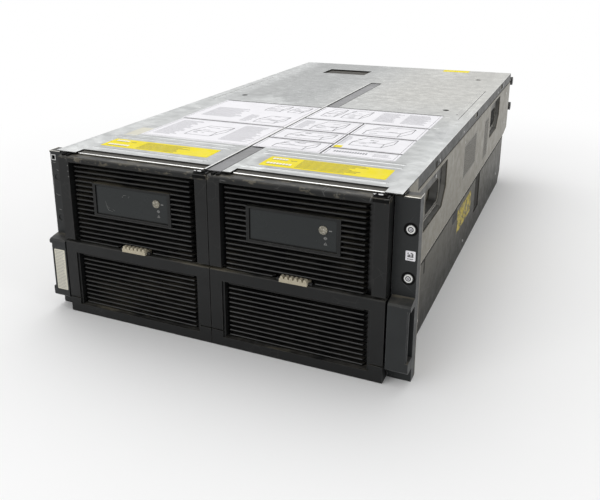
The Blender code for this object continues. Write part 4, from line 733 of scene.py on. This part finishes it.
for side, left in BEZEL_LEFT.items():
    drawer = f"drawer_{side}"
    # Dark screens behind the louvres
    bm = bmesh.new()
    for inset, z in ((0.0165, (0.0985, 0.2065)), (0.0195, (0.0135, 0.085))):
        front_plate(bm, (left + inset, left + BEZEL_WIDTH - inset), z, SCREEN, 0.0004)
    piece(f"louvre_screen_{side}", bm, "mesh_black", drawer)
    # Printed marks beside the display's button
    key = left + KEY_X
    bm = bmesh.new()
    front_plate(bm, (key + 0.0066, key + 0.01), (KEY_Z - 0.0007, KEY_Z + 0.0004), PRINT)
    x, z = key + 0.0026, KEY_Z - 0.0093
    front_ring(bm, x, z, 0.0017, 0.001, PRINT, sides=20)
    front_plate(bm, (x - 0.0022, x + 0.0022), (z - 0.0003, z + 0.0003), PRINT - 0.00002)
    x, z = key + 0.0027, KEY_Z - 0.0155
    for foot in (-1, 1):
        slope = (
            (x + foot * 0.002, z - 0.0016), (x + foot * 0.0012, z - 0.0016), (x, z + 0.001), (x, z + 0.0018)
        )
        prism(bm, "Y", slope, depth(PRINT) - 0.00002 * (foot + 1), depth(PRINT) + 0.0001)
    front_plate(bm, (x - 0.0014, x + 0.0014), (z - 0.0016, z - 0.001), PRINT - 0.00006)
    flat(f"display_marks_{side}", bm, "mark_pale", drawer)
    # Raised rim of the window
    bm = bmesh.new()
    for x, z in border([left + x for x in WINDOW_X], WINDOW_Z, 0.0012):
        front_plate(bm, x, z, RIM)
    flat(f"display_rim_{side}", bm, "rim_slate", drawer, "window_slate")
    # Lock hole in the panel under the display, dark as painted shade
    bm = bmesh.new()
    front_disc(bm, left + 0.0703, 0.1243, 0.0022, 0.0154)
    piece(f"display_lock_{side}", bm, "hole_dark", drawer)
    # Catch on the bezel's top corner
    bm = bmesh.new()
    catch_blocks(bm, left + CATCH, CATCH_SEAT)
    piece(f"catch_seat_{side}", bm, "mesh_black", drawer, "bezel_plastic")
    bm = bmesh.new()
    tube(bm, [(left + CATCH + x, depth(d), BEZEL_TOP + z) for x, d, z in CATCH_WIRE], 0.0006)
    catch_blocks(bm, left + CATCH, CATCH_SPRING)
    piece(f"catch_spring_{side}", bm, "chrome", drawer)

# Rack ears
EAR_TOP = 0.2137
EAR_FACE = 0.0176
EAR_BACK = 0.034
EAR_CAP = (
    (EAR_BACK, 0), (0.0172, 0), (0.0172, -0.0013), (0.0164, -0.0013),
    (0.0164, 0.0004), (0.017, 0.001), (EAR_BACK, 0.001),
)
for side, sign in SIDES.items():
    inner, outer = sign * 0.2243, sign * 0.2412
    low, high = sorted((inner, outer))
    # Folded steel cap over the ear's top
    bm = bmesh.new()
    prism(bm, "X", [(depth(d), EAR_TOP + rise) for d, rise in EAR_CAP], low, high)
    box(bm, sorted((inner, inner + sign * 0.0009)), (0.0175, 0.0345), (EAR_TOP + 0.001, EAR_TOP + 0.0036))
    piece(f"ear_cap_{side}", bm, "ear_plastic", slot="ear_plastic")
    # Painted highlight along the cap's front and outer edges
    bm = bmesh.new()
    front, edge = depth(0.0166), EAR_TOP + 0.0009
    tube(bm, [(low, front, edge), (high, front, edge)], 0.0004)
    tube(bm, [(outer, front, edge), (outer, depth(EAR_BACK), edge)], 0.0004)
    piece(f"ear_cap_highlight_{side}", bm, "edge_highlight")

# White label and push button faces of the right ear
KEY_MIDDLE = 0.2326
CELL = 0.00105
EAR_PRINT = EAR_FACE - LABEL - 0.00004
bm = bmesh.new()
front_plate(bm, (0.2283, 0.2389), (0.144, 0.155), EAR_FACE - LABEL, LABEL, 0.0008)
piece("ear_label_white", bm, "label_white")
bm = bmesh.new()
rng = random.Random(11)
for i in range(6):
    for j in range(5):
        if rng.random() < 0.62:
            x, z = 0.2305 + i * CELL, 0.1479 + j * CELL
            front_plate(bm, (x, x + CELL * 0.9), (z, z + CELL * 0.9), EAR_PRINT, 0.00005)
front_plate(bm, (0.23, 0.237), (0.1455, 0.1462), EAR_PRINT, 0.00005)
flat("ear_label_marks", bm, "hole_dark")
for body, z in (("power_key", 0.179), ("locate_key", 0.1234)):
    bm = bmesh.new()
    front_disc(bm, KEY_MIDDLE, z, 0.0031, 0.0167)
    piece(f"{body}_well", bm, "carrier_dark", body)
    bm = bmesh.new()
    front_ring(bm, KEY_MIDDLE, z, 0.0019, 0.0013, 0.01664, 0.00006, 20)
    front_plate(bm, (KEY_MIDDLE - 0.0003, KEY_MIDDLE + 0.0003), (z - 0.0005, z + 0.0012), 0.01662, 0.00008)
    flat(f"{body}_mark", bm, "label_white", body)
    bm = bmesh.new()
    front_ring(bm, KEY_MIDDLE, z, 0.0076, 0.0053, 0.0175)
    piece(f"{body}_surround", bm, "mesh_black", slot="ear_plastic")

# Aged label on the left grab handle, and the bright frame of the left ear's square hole
bm = bmesh.new()
front_plate(bm, (-0.2348, -0.2178), (0.0285, 0.0856), -LABEL, LABEL, 0.001)
piece("grip_label", bm, "label_aged")
bm = bmesh.new()
z = 0.0305
while z < 0.084:
    front_plate(bm, (-0.2338, -0.22 + rng.uniform(-0.002, 0.001)), (z, z + 0.0005), -LABEL - 0.00004, 0.00005)
    z += 0.0021
flat("grip_label_rules", bm, "print_grey")
bm = bmesh.new()
for z, x in border((0.202, 0.2095), (-0.2398, -0.2328), 0.001):
    front_plate(bm, x, z, EAR_FACE - 0.0004, 0.0004)
piece("ear_hole_frame", bm, "screw_steel")


# Side panels
def side_box(bm, sign, out, deep, d, z):
    """A block on a side, from an outer place inwards."""
    box(bm, mirrored(sign, out, out - deep), d, z)


def side_blocks(name, look, slot, make, blocks):
    """A piece on each side, made of blocks by outer place, thickness, depths and heights."""
    for side, sign in SIDES.items():
        bm = bmesh.new()
        for block in blocks:
            side_box(bm, sign, *block)
        make(f"{name}_{side}", bm, look, slot=slot)


def side_prism(bm, sign, outline, low, high):
    prism(bm, "X", outline, *mirrored(sign, low, high))


def perforated(name, sign, out, d, z):
    """A plate with staggered round holes and a plain border, standing on a side."""
    pitch, hole, thick, edge = 0.0034, 0.00125, 0.0002, 0.0016
    bm = bmesh.new()
    rise = pitch * math.sqrt(3) / 2
    rows = int((z[1] - z[0] - 2 * edge) / rise)
    columns = int((d[1] - d[0] - 2 * edge) / pitch)
    start = (d[0] + d[1] - columns * pitch) / 2
    base = (z[0] + z[1] - rows * rise) / 2 + rise / 2
    for row in range(rows):
        for column in range(columns - row % 2):
            a, b = depth(start + (column + 0.5 + (row % 2) / 2) * pitch), base + row * rise
            rings = []
            for radius, level in ((pitch / math.sqrt(3), 0), (hole, 0), (hole, thick)):
                outline = circle(a, b, radius, 6, math.radians(30))
                rings.append([bm.verts.new((sign * (out - level), y, up)) for y, up in outline])
            bridge(bm, rings)
    bmesh.ops.remove_doubles(bm, verts=bm.verts, dist=0.00001)
    for a, b in border(d, z, edge * 2, edge * 1.6):
        side_box(bm, sign, out + 0.00004, thick, a, b)
    flat(name, bm, "vent_steel", slot="zinc")


sheet_metal("cup_zinc", (0.2, 0.2, 0.195), (0.11, 0.11, 0.105), (0.34, 0.34, 0.33), 0.4)
# Near black for painted shade and painted shadow in seams, grooves and openings
plain("painted_shade", (0.036, 0.034, 0.03), 0.75, 0.0, 90.0, 0.6, Specular_IOR_Level=0.12)

VENTS = {"long": ((0.3683, 0.4737), (0.1323, 0.1837)), "short": ((0.5543, 0.5997), (0.1133, 0.1827))}
HAND_HOLES = {"front": (0.145, 0.219), "rear": (0.634, 0.712)}
HAND_HOLE_Z = (0.147, 0.179)
HAND_HOLE_ROUND = 0.01
# Each rivet by its face, depth, height and radius
RIVETS = (
    (POCKET, 0.2018, 0.1832, 0.0024),
    (PANEL, 0.1902, 0.2079, 0.0022),
    (PANEL, 0.3696, 0.1885, 0.0016),
    (PANEL, 0.756, 0.211, 0.002),
    (PANEL, 0.861, 0.206, 0.0018),
    (PANEL, 0.35, 0.209, 0.0018),
    (PANEL, 0.69, 0.209, 0.0018),
    (PANEL, 0.82, 0.185, 0.0026),
    (PANEL, 0.82, 0.125, 0.0026),
    (WALL, 0.12, 0.02, 0.0026),
    (WALL, 0.42, 0.015, 0.0022),
    (WALL, 0.77, 0.03, 0.0026),
)
for side, sign in SIDES.items():
    for place, (d, z) in VENTS.items():
        # A dark backing behind the vent's holes, painted shade
        bm = bmesh.new()
        inside = [(low + 0.0005, high - 0.0005) for low, high in (d, z)]
        side_box(bm, sign, PANEL - 0.00033, 0.00004, *inside)
        piece(f"vent_back_{place}_{side}", bm, "hole_dark")
        perforated(f"vent_{place}_{side}", sign, PANEL - 0.00006, d, z)
    # Rolled rims of the hand holes
    bm = bmesh.new()
    for ends in HAND_HOLES.values():
        outline = rounded(depths(ends), HAND_HOLE_Z, HAND_HOLE_ROUND, 5)
        tube(bm, [(sign * POCKET, a, b) for a, b in outline], 0.0005, 6, True)
    piece(f"hand_hole_rim_{side}", bm, "vent_steel", slot="zinc")
    # Painted shade in the keyhole slot of the front pocket and in the hanging slot of the wall, and a dark spot
    # in the pocket
    bm = bmesh.new()
    for radius, z in ((0.004, 0.168), (0.0022, 0.179)):
        side_prism(bm, sign, circle(depth(0.232), z, radius, 16), POCKET, POCKET + 0.00012)
    side_box(bm, sign, POCKET + 0.00012, 0.00007, (0.23, 0.234), (0.168, 0.179))
    side_prism(bm, sign, circle(depth(0.196), 0.1862, 0.0034, 16), POCKET, POCKET + 0.0001)
    side_prism(bm, sign, rounded(depths((0.316, 0.352)), (0.0765, 0.0935), 0.006), WALL, WALL + 0.00008)
    flat(f"side_slots_{side}", bm, "hole_dark")
    bm = bmesh.new()
    for out, d, z, radius in RIVETS:
        profile = ((0, -0.0001), (radius, -0.0001), (radius, 0.0002), (radius * 0.7, 0.0005), (0, 0.0006))
        lathe(bm, "X", (0, depth(d), z), [(r, sign * (out + a)) for r, a in profile], 16)
    piece(f"side_rivets_{side}", bm, "screw_steel")

# Small tabs under the hand holes and strips along the pockets' lower edges as painted highlights, painted shade
# behind the wall's openings, and painted shadow along the seam under the upper panel
side_blocks("pocket_tabs", "edge_highlight", "zinc", flat, [
    (POCKET + 0.0006, 0.0006, d, (0.14, 0.1414))
    for d in ((0.1, 0.11), (0.222, 0.23), (0.632, 0.64), (0.7, 0.707))
] + [(POCKET + 0.0004, 0.0004, d, (0.1428, 0.1436)) for d in ((0.0885, 0.2175), (0.6195, 0.7045))])
side_blocks("wall_backs", "painted_shade", None, piece, (
    (0.2212, 0.0004, (0.5085, 0.557), (0.0285, 0.0985)),
    (0.2212, 0.0004, (0.1395, 0.1445), (0.0735, 0.098)),
))
side_blocks("seam_shadow", "painted_shade", None, flat, (
    (WALL + 0.00008, 0.00016, (0.0782, 0.8295), (0.093, 0.0973)),
    (WALL + 0.00006, 0.00008, (0.1388, 0.1458), (0.075, 0.093)),
))
# Painted highlight along the hem of the upper panel
side_blocks("panel_hem_highlight", "edge_highlight", "zinc", flat, (
    (PANEL + 0.00006, 0.00012, (0.0782, 0.8295), (0.0998, 0.1004)),
))

# Cups behind the hand holes, and painted shadow in the groove under the side's upper edge, with two small dark
# marks near its front in painted shade
for side, sign in SIDES.items():
    for place, (start, end) in HAND_HOLES.items():
        bm = bmesh.new()
        rings = []
        for out, grow in ((0.2176, 0.0), (0.207, -0.0004), (0.207, 0.0006), (0.2176, 0.001)):
            z = (HAND_HOLE_Z[0] - grow, HAND_HOLE_Z[1] + grow)
            outline = rounded(depths((start - grow, end + grow)), z, HAND_HOLE_ROUND, 5)
            rings.append([bm.verts.new((sign * out, a, b)) for a, b in outline])
        bridge(bm, rings, True)
        piece(f"hand_cup_{place}_{side}", bm, "cup_zinc", slot="zinc")
    bm = bmesh.new()
    side_box(bm, sign, PANEL + 0.00006, 0.00012, (0.0782, 0.869), (0.2021, 0.2036))
    side_prism(bm, sign, rounded(depths((0.166, 0.178)), (0.2035, 0.212), 0.003), PANEL, PANEL + 0.0001)
    side_prism(bm, sign, circle(depth(0.185), 0.2075, 0.0022, 14), PANEL, PANEL + 0.00008)
    flat(f"band_shadow_{side}", bm, "painted_shade")
bm = bmesh.new()
side_prism(bm, 1, rounded(depths((0.357, 0.47)), (0.05, 0.086), 0.0015), WALL, WALL + LABEL)
piece("side_label_yellow", bm, "label_rubbed")

# Lips of the drawers: a painted highlight along the folded edge, and the flange behind it that closes the slot
# under the cover, in painted shade
# Bright metal for painted highlights, and a dark brown for zinc in painted shade
plain("painted_highlight", (0.86, 0.86, 0.84), 0.3, 0.7, 150.0, 0.35)
plain("slot_shade_brown", (0.06, 0.056, 0.048), 0.5, 0.3, 60.0, 0.6, Specular_IOR_Level=0.25)
LIP_LOW = 0.2166
SLOT_FLANGE = (
    (0.0162, 0.217), (0.0345, 0.217), (0.0345, 0.19), (0.0337, 0.19), (0.0337, LIP_LOW), (0.0162, LIP_LOW)
)
for side, (x0, x1) in {"left": (-0.193, -0.01), "right": (0.0267, 0.204)}.items():
    bm = bmesh.new()
    tube(bm, [(x, depth(0.0155), LIP_LOW) for x in (x0 + 0.0004, x1 - 0.0004)], 0.0006)
    piece(f"lip_highlight_{side}", bm, "painted_highlight", f"drawer_{side}", "zinc")
    bm = bmesh.new()
    prism(bm, "X", [(depth(a), b) for a, b in SLOT_FLANGE], x0, x1)
    flat(f"slot_flange_{side}", bm, "slot_shade_brown", f"drawer_{side}", "zinc")

# Dark ends of the release latches
TAB_WIDTH = 0.0337
TAB_SHIFT = 0.00065
for side, left in BEZEL_LEFT.items():
    bm = bmesh.new()
    start = left + BEZEL_WIDTH / 2 + TAB_SHIFT - TAB_WIDTH / 2
    for x in (start - 0.0047, start + TAB_WIDTH):
        box(bm, (x, x + 0.0047), (0.0017, 0.0043), (0.1018, 0.1039))
    piece(f"latch_ends_{side}", bm, "hook_black", f"latch_{side}")


# Painted highlights and painted shade along the edges, lances and beads of the cover
def strip(bm, x, d, thick=0.0001):
    """A thin strip on the cover."""
    box(bm, x, d, (TOP, TOP + thick))


TRENCH_D = (0.0108, 0.6475)
bm = bmesh.new()
strip(bm, (-0.008, -0.0064), TRENCH_D, 0.0003)
for sign in SIDES.values():
    for d in (0.312, 0.392):
        strip(bm, mirrored(sign, 0.188, 0.1955), (d, d + 0.0016), 0.0003)
    strip(bm, mirrored(sign, 0.2074, 0.208), (0.385, 0.64), 0.00015)
    strip(bm, mirrored(sign, 0.2166, 0.2172), (0.41, 0.52), 0.00015)
    box(bm, mirrored(sign, 0.2234, 0.2239), (0.079, 0.869), (TOP - 0.0001, TOP + 0.0001))
flat("cover_highlights", bm, "painted_highlight", slot="lid_metal")
# Painted highlight and painted shade along the pressed beads
plain("bead_light", (0.8, 0.81, 0.81), 0.35, 0.6)
plain("bead_shade", (0.27, 0.275, 0.275), 0.5, 0.6)
lights, shades = bmesh.new(), bmesh.new()
for x in ((-0.19, -0.022), (0.03, 0.2)):
    for d in (0.0402, 0.0985, 0.114):
        strip(lights, x, (d, d + 0.0018))
        strip(shades, x, (d + 0.0018, d + 0.0042), 0.00008)
flat("bead_lights", lights, "bead_light", slot="lid_metal")
flat("bead_shades", shades, "bead_shade", slot="lid_metal")
bm = bmesh.new()
for sign in SIDES.values():
    strip(bm, mirrored(sign, 0.2082, 0.209), (0.385, 0.64))
strip(bm, (0.0142, 0.0149), TRENCH_D)
flat("cover_shade", bm, "painted_shade")
# Floor of a slot in the cover, dark as painted shade
bm = bmesh.new()
box(bm, (-0.14, -0.046), (0.73, 0.79), (0.2156, 0.216))
box(bm, (-0.138, -0.048), (0.763, 0.765), (0.216, 0.2164))
flat("cover_slot_floor", bm, "slot_shade_brown")


# Worn spots: scratches on the left display, bright dots beside its louvres, scuffs on the left ear
def strokes(name, body, left, d, radius, paths):
    """Thin scratches on a face that looks to the front, each a path of x and z."""
    bm = bmesh.new()
    for path in paths:
        tube(bm, [(left + x, depth(d), z) for x, z in path], radius, 5)
    piece(name, bm, "mark_pale", body)


strokes("display_scratches", "drawer_left", BEZEL_LEFT["left"], 0.00598, 0.00013, (
    ((0.064, 0.161), (0.0655, 0.156), (0.069, 0.153)),
    ((0.0655, 0.1545), (0.0685, 0.15), (0.074, 0.149)),
    ((0.075, 0.152), (0.0775, 0.15)),
    ((0.09, 0.169), (0.0925, 0.1725), (0.096, 0.173)),
    ((0.099, 0.17), (0.1005, 0.172)),
))
bm = bmesh.new()
for z in (0.2035, 0.196, 0.189):
    front_disc(bm, BEZEL_LEFT["left"] + 0.0143, z, 0.0006, -0.00003, 0.00006, 12)
piece("bezel_dots", bm, "mark_pale", "drawer_left")
strokes("ear_scuffs", "chassis", 0.0, EAR_FACE - 0.0001, 0.0003, (
    ((-0.2385, 0.199), (-0.236, 0.1985), (-0.2335, 0.1992)),
    ((-0.24, 0.18), (-0.2392, 0.17), (-0.2396, 0.16)),
    ((-0.233, 0.1895), (-0.23, 0.188)),
    ((-0.238, 0.156), (-0.234, 0.1545), (-0.231, 0.155)),
    ((-0.235, 0.135), (-0.231, 0.1342)),
))

# Printed rules and blank headings of the yellow labels
bm = bmesh.new()
for x, d in (((0.084, 0.166), (0.056, 0.088)), ((-0.136, -0.062), (0.057, 0.087))):
    rules(bm, x, d, 0.0044, 0.0015, rng)
headings = bmesh.new()
for x in (0.0465, -0.182):
    for shift, d, long in ((0.0, 0.083, 0.02), (0.024, 0.084, 0.008), (0.0, 0.064, 0.031)):
        box(bm, (x + shift, x + shift + long), (d - 0.0052, d - 0.0036), INK)
    for d, count in ((0.083, 5), (0.064, 8)):
        for i in range(count):
            box(headings, (x + i * 0.004, x + i * 0.004 + 0.003), (d - 0.0032, d + 0.0022), INK)
flat("yellow_rules", bm, "ink_ochre")
flat("yellow_headings", headings, "label_white")

# Tops of the drive carriers in each drawer
moulded("lever_slate", (0.045, 0.047, 0.05), (0.16, 0.16, 0.165), 0.4, 0.2)
plain("latch_steel", (0.24, 0.26, 0.28), 0.4, 0.2, 300.0)
plain("light_green", (0.1, 0.35, 0.12), 0.25, 0.0, 400.0)
plain("light_amber", (0.55, 0.3, 0.05), 0.25, 0.0, 400.0)
ROW_STARTS = [0.04 + 0.116 * i for i in range(5)]
COLUMNS = [0.10815 + 0.0274 * i for i in range(-3, 4)]


def ribbon(bm, x, path, thick):
    """A strip across x whose lower face follows a path of y and z."""
    prism(bm, "X", path + [(y, z + thick) for y, z in reversed(path)], *x)


def over(bm, x, start, ends, lift, thick):
    """A strip lying on a carrier's top: flat in front, then sloping down to the back."""
    knee, slope, top = 0.0305, 0.011 / 0.065, 0.187
    places = [ends[0]] + [knee] * (ends[0] < knee < ends[1]) + [ends[1]]
    ribbon(bm, x, [(depth(start + a), top - max(0, a - knee) * slope + lift) for a in places], thick)


for side, sign in SIDES.items():
    arms, latches, green, amber, tags, holes = (bmesh.new() for _ in range(6))
    for start in ROW_STARTS:
        for column in COLUMNS:
            x = sign * column
            for foot in (-1, 1):
                over(arms, sorted((x + foot * 0.0078, x + foot * 0.0106)), start, (0.01, 0.094), 0, 0.0014)
            for bm, half, ends, lift, thick in (
                (arms, 0.0079, (0.009, 0.0185), 0, 0.0019),
                (arms, 0.0079, (0.088, 0.094), 0, 0.0014),
                (latches, 0.0055, (0.0205, 0.0285), 0, 0.0012),
                (latches, 0.005, (0.0235, 0.0245), 0.0012, 0.0005),
                (tags, 0.0062, (0.052, 0.082), 0, 0.0002),
            ):
                over(bm, (x - half, x + half), start, ends, lift, thick)
            for row in range(2):
                for k in range(4):
                    a, d = x - 0.0054 + k * 0.0036, 0.034 + row * 0.008
                    over(holes, (a - 0.0011, a + 0.0011), start, (d, d + 0.006), 0, 0.0001)
            for bm, place in ((green, x + 0.0085), (amber, x + 0.005)):
                path = [(depth(start + a), 0.178 + a * 0.009 / 0.0081) for a in (0.003, 0.0052)]
                ribbon(bm, (place - 0.0008, place + 0.0008), path, 0.0005)
    drawer = f"drawer_{side}"
    piece(f"carrier_arms_{side}", arms, "lever_slate", drawer)
    piece(f"carrier_latches_{side}", latches, "latch_steel", drawer)
    flat(f"carrier_tags_{side}", tags, "label_white", drawer)
    flat(f"carrier_holes_{side}", holes, "hole_dark", drawer)
    flat(f"carrier_lights_green_{side}", green, "light_green", drawer)
    flat(f"carrier_lights_amber_{side}", amber, "light_amber", drawer)


# Rear
def back_plate(bm, x, z, d, thick=0.0001):
    """A thin plate that faces the back, its outer face at the depth d."""
    box(bm, x, (d - thick, d), z)


def rim(x, z, wide, d, thick):
    """A thin rim around an opening in the back."""
    for a, b in border((x[0] - wide, x[1] + wide), (z[0] - wide, z[1] + wide), wide):
        back_plate(rims, a, b, d, thick)


def screw(x, z, d, radius=0.0026):
    """A domed screw head that faces the back."""
    profile = ((0, -0.0004), (radius, -0.0004), (radius, 0.0003), (radius * 0.75, 0.001), (0, 0.0013))
    lathe(screws, "Y", (x, depth(d), z), profile, 16)


plain("guard_wire", (0.62, 0.62, 0.61), 0.25, 0.95, 300.0)
moulded("inlet_black", (0.012, 0.012, 0.012), (0.06, 0.06, 0.06), 0.4, 0.15)
plain("pin_brass", (0.72, 0.6, 0.38), 0.28, 0.95, 400.0)
FAN_X, FAN_Z = 0.0594, 0.16225
screws, pins, rims, lights, tongues, tags, dark = (bmesh.new() for _ in range(7))
for side, sign in SIDES.items():
    x, z = sign * FAN_X, FAN_Z
    bm = bmesh.new()
    for radius in (0.012, 0.019, 0.026, 0.033, 0.04, 0.047):
        tube(bm, [(a, depth(0.8709), b) for a, b in circle(x, z, radius, 40)], 0.0006, 6, True)
    for k in range(4):
        turn = math.radians(45 + 90 * k)
        reach = ((0.01, 0.8717), (0.0495, 0.8717), (0.055, 0.8704))
        tube(bm, [(x + r * math.cos(turn), depth(d), z + r * math.sin(turn)) for r, d in reach], 0.0007, 6)
        screw(x + 0.0575 * math.cos(turn), z + 0.0575 * math.sin(turn), UPPER_BACK)
    piece(f"fan_guard_{side}", bm, "guard_wire")
    # Ports, lights and tags of the two modules at this side
    for low in (0.1095, 0.16325):
        for column in range(3):
            start = sign * (0.1298 + column * 0.024)
            a, b = sorted((start, start + sign * 0.017))
            for rise in (0.012, 0.03):
                z = (low + rise, low + rise + 0.0085)
                middle = (z[0] + z[1]) / 2
                box(tongues, (a + 0.003, b - 0.003), (0.859, 0.868), (middle - 0.0007, middle + 0.0007))
                rim((a, b), z, 0.0008, UPPER_BACK + 0.0004, 0.0005)
                back_plate(dark, (a, b), z, 0.8604)
            for shift in (-0.004, 0.004):
                spot = circle((a + b) / 2 + shift, low + 0.0252, 0.0007, 10)
                prism(lights, "Y", spot, depth(0.8699), depth(0.8702))
        back_plate(tags, mirrored(sign, 0.1985, 0.2095), (low + 0.012, low + 0.034), UPPER_BACK + LABEL, LABEL)
        for rise in (0.0058, 0.046):
            screw(sign * 0.1245, low + rise, UPPER_BACK, 0.002)
# Inlets, slots, lights and tags of the four supplies
for i in range(4):
    x0 = -0.2198 + i * 0.1104
    x1 = x0 + 0.1084
    middle = x0 + 0.0255
    for x, z in ((middle - 0.007, 0.0455), (middle + 0.007, 0.0455), (middle, 0.052)):
        box(pins, (x - 0.001, x + 0.001), (0.8205, 0.8278), (z - 0.002, z + 0.002))
    inlet = ((x0 + 0.012, x0 + 0.039), (0.0383, 0.0583))
    back_plate(dark, *inlet, 0.8212)
    rim(*inlet, 0.0022, LOWER_BACK + 0.0008, 0.0009)
    back_plate(dark, (x1 - 0.0535, x1 - 0.012), (0.0383, 0.086), 0.8243)
    for x in (x0 + 0.006, x0 + 0.014):
        prism(lights, "Y", circle(x, 0.091, 0.0011, 12), depth(0.8299), depth(0.8303))
    back_plate(tags, (x0 + 0.052, x0 + 0.092), (0.0885, 0.095), LOWER_BACK + LABEL, LABEL)
    screw(x0 + 0.005, 0.031, LOWER_BACK, 0.0022)
    screw(x1 - 0.005, 0.093, LOWER_BACK, 0.0022)
piece("rear_screws", screws, "screw_steel")
piece("inlet_pins", pins, "pin_brass")
piece("port_rims", rims, "inlet_black")
piece("port_tongues", tongues, "inlet_black")
piece("rear_lights", lights, "light_green")
flat("rear_tags", tags, "label_white")
flat("rear_dark_backs", dark, "hole_dark")
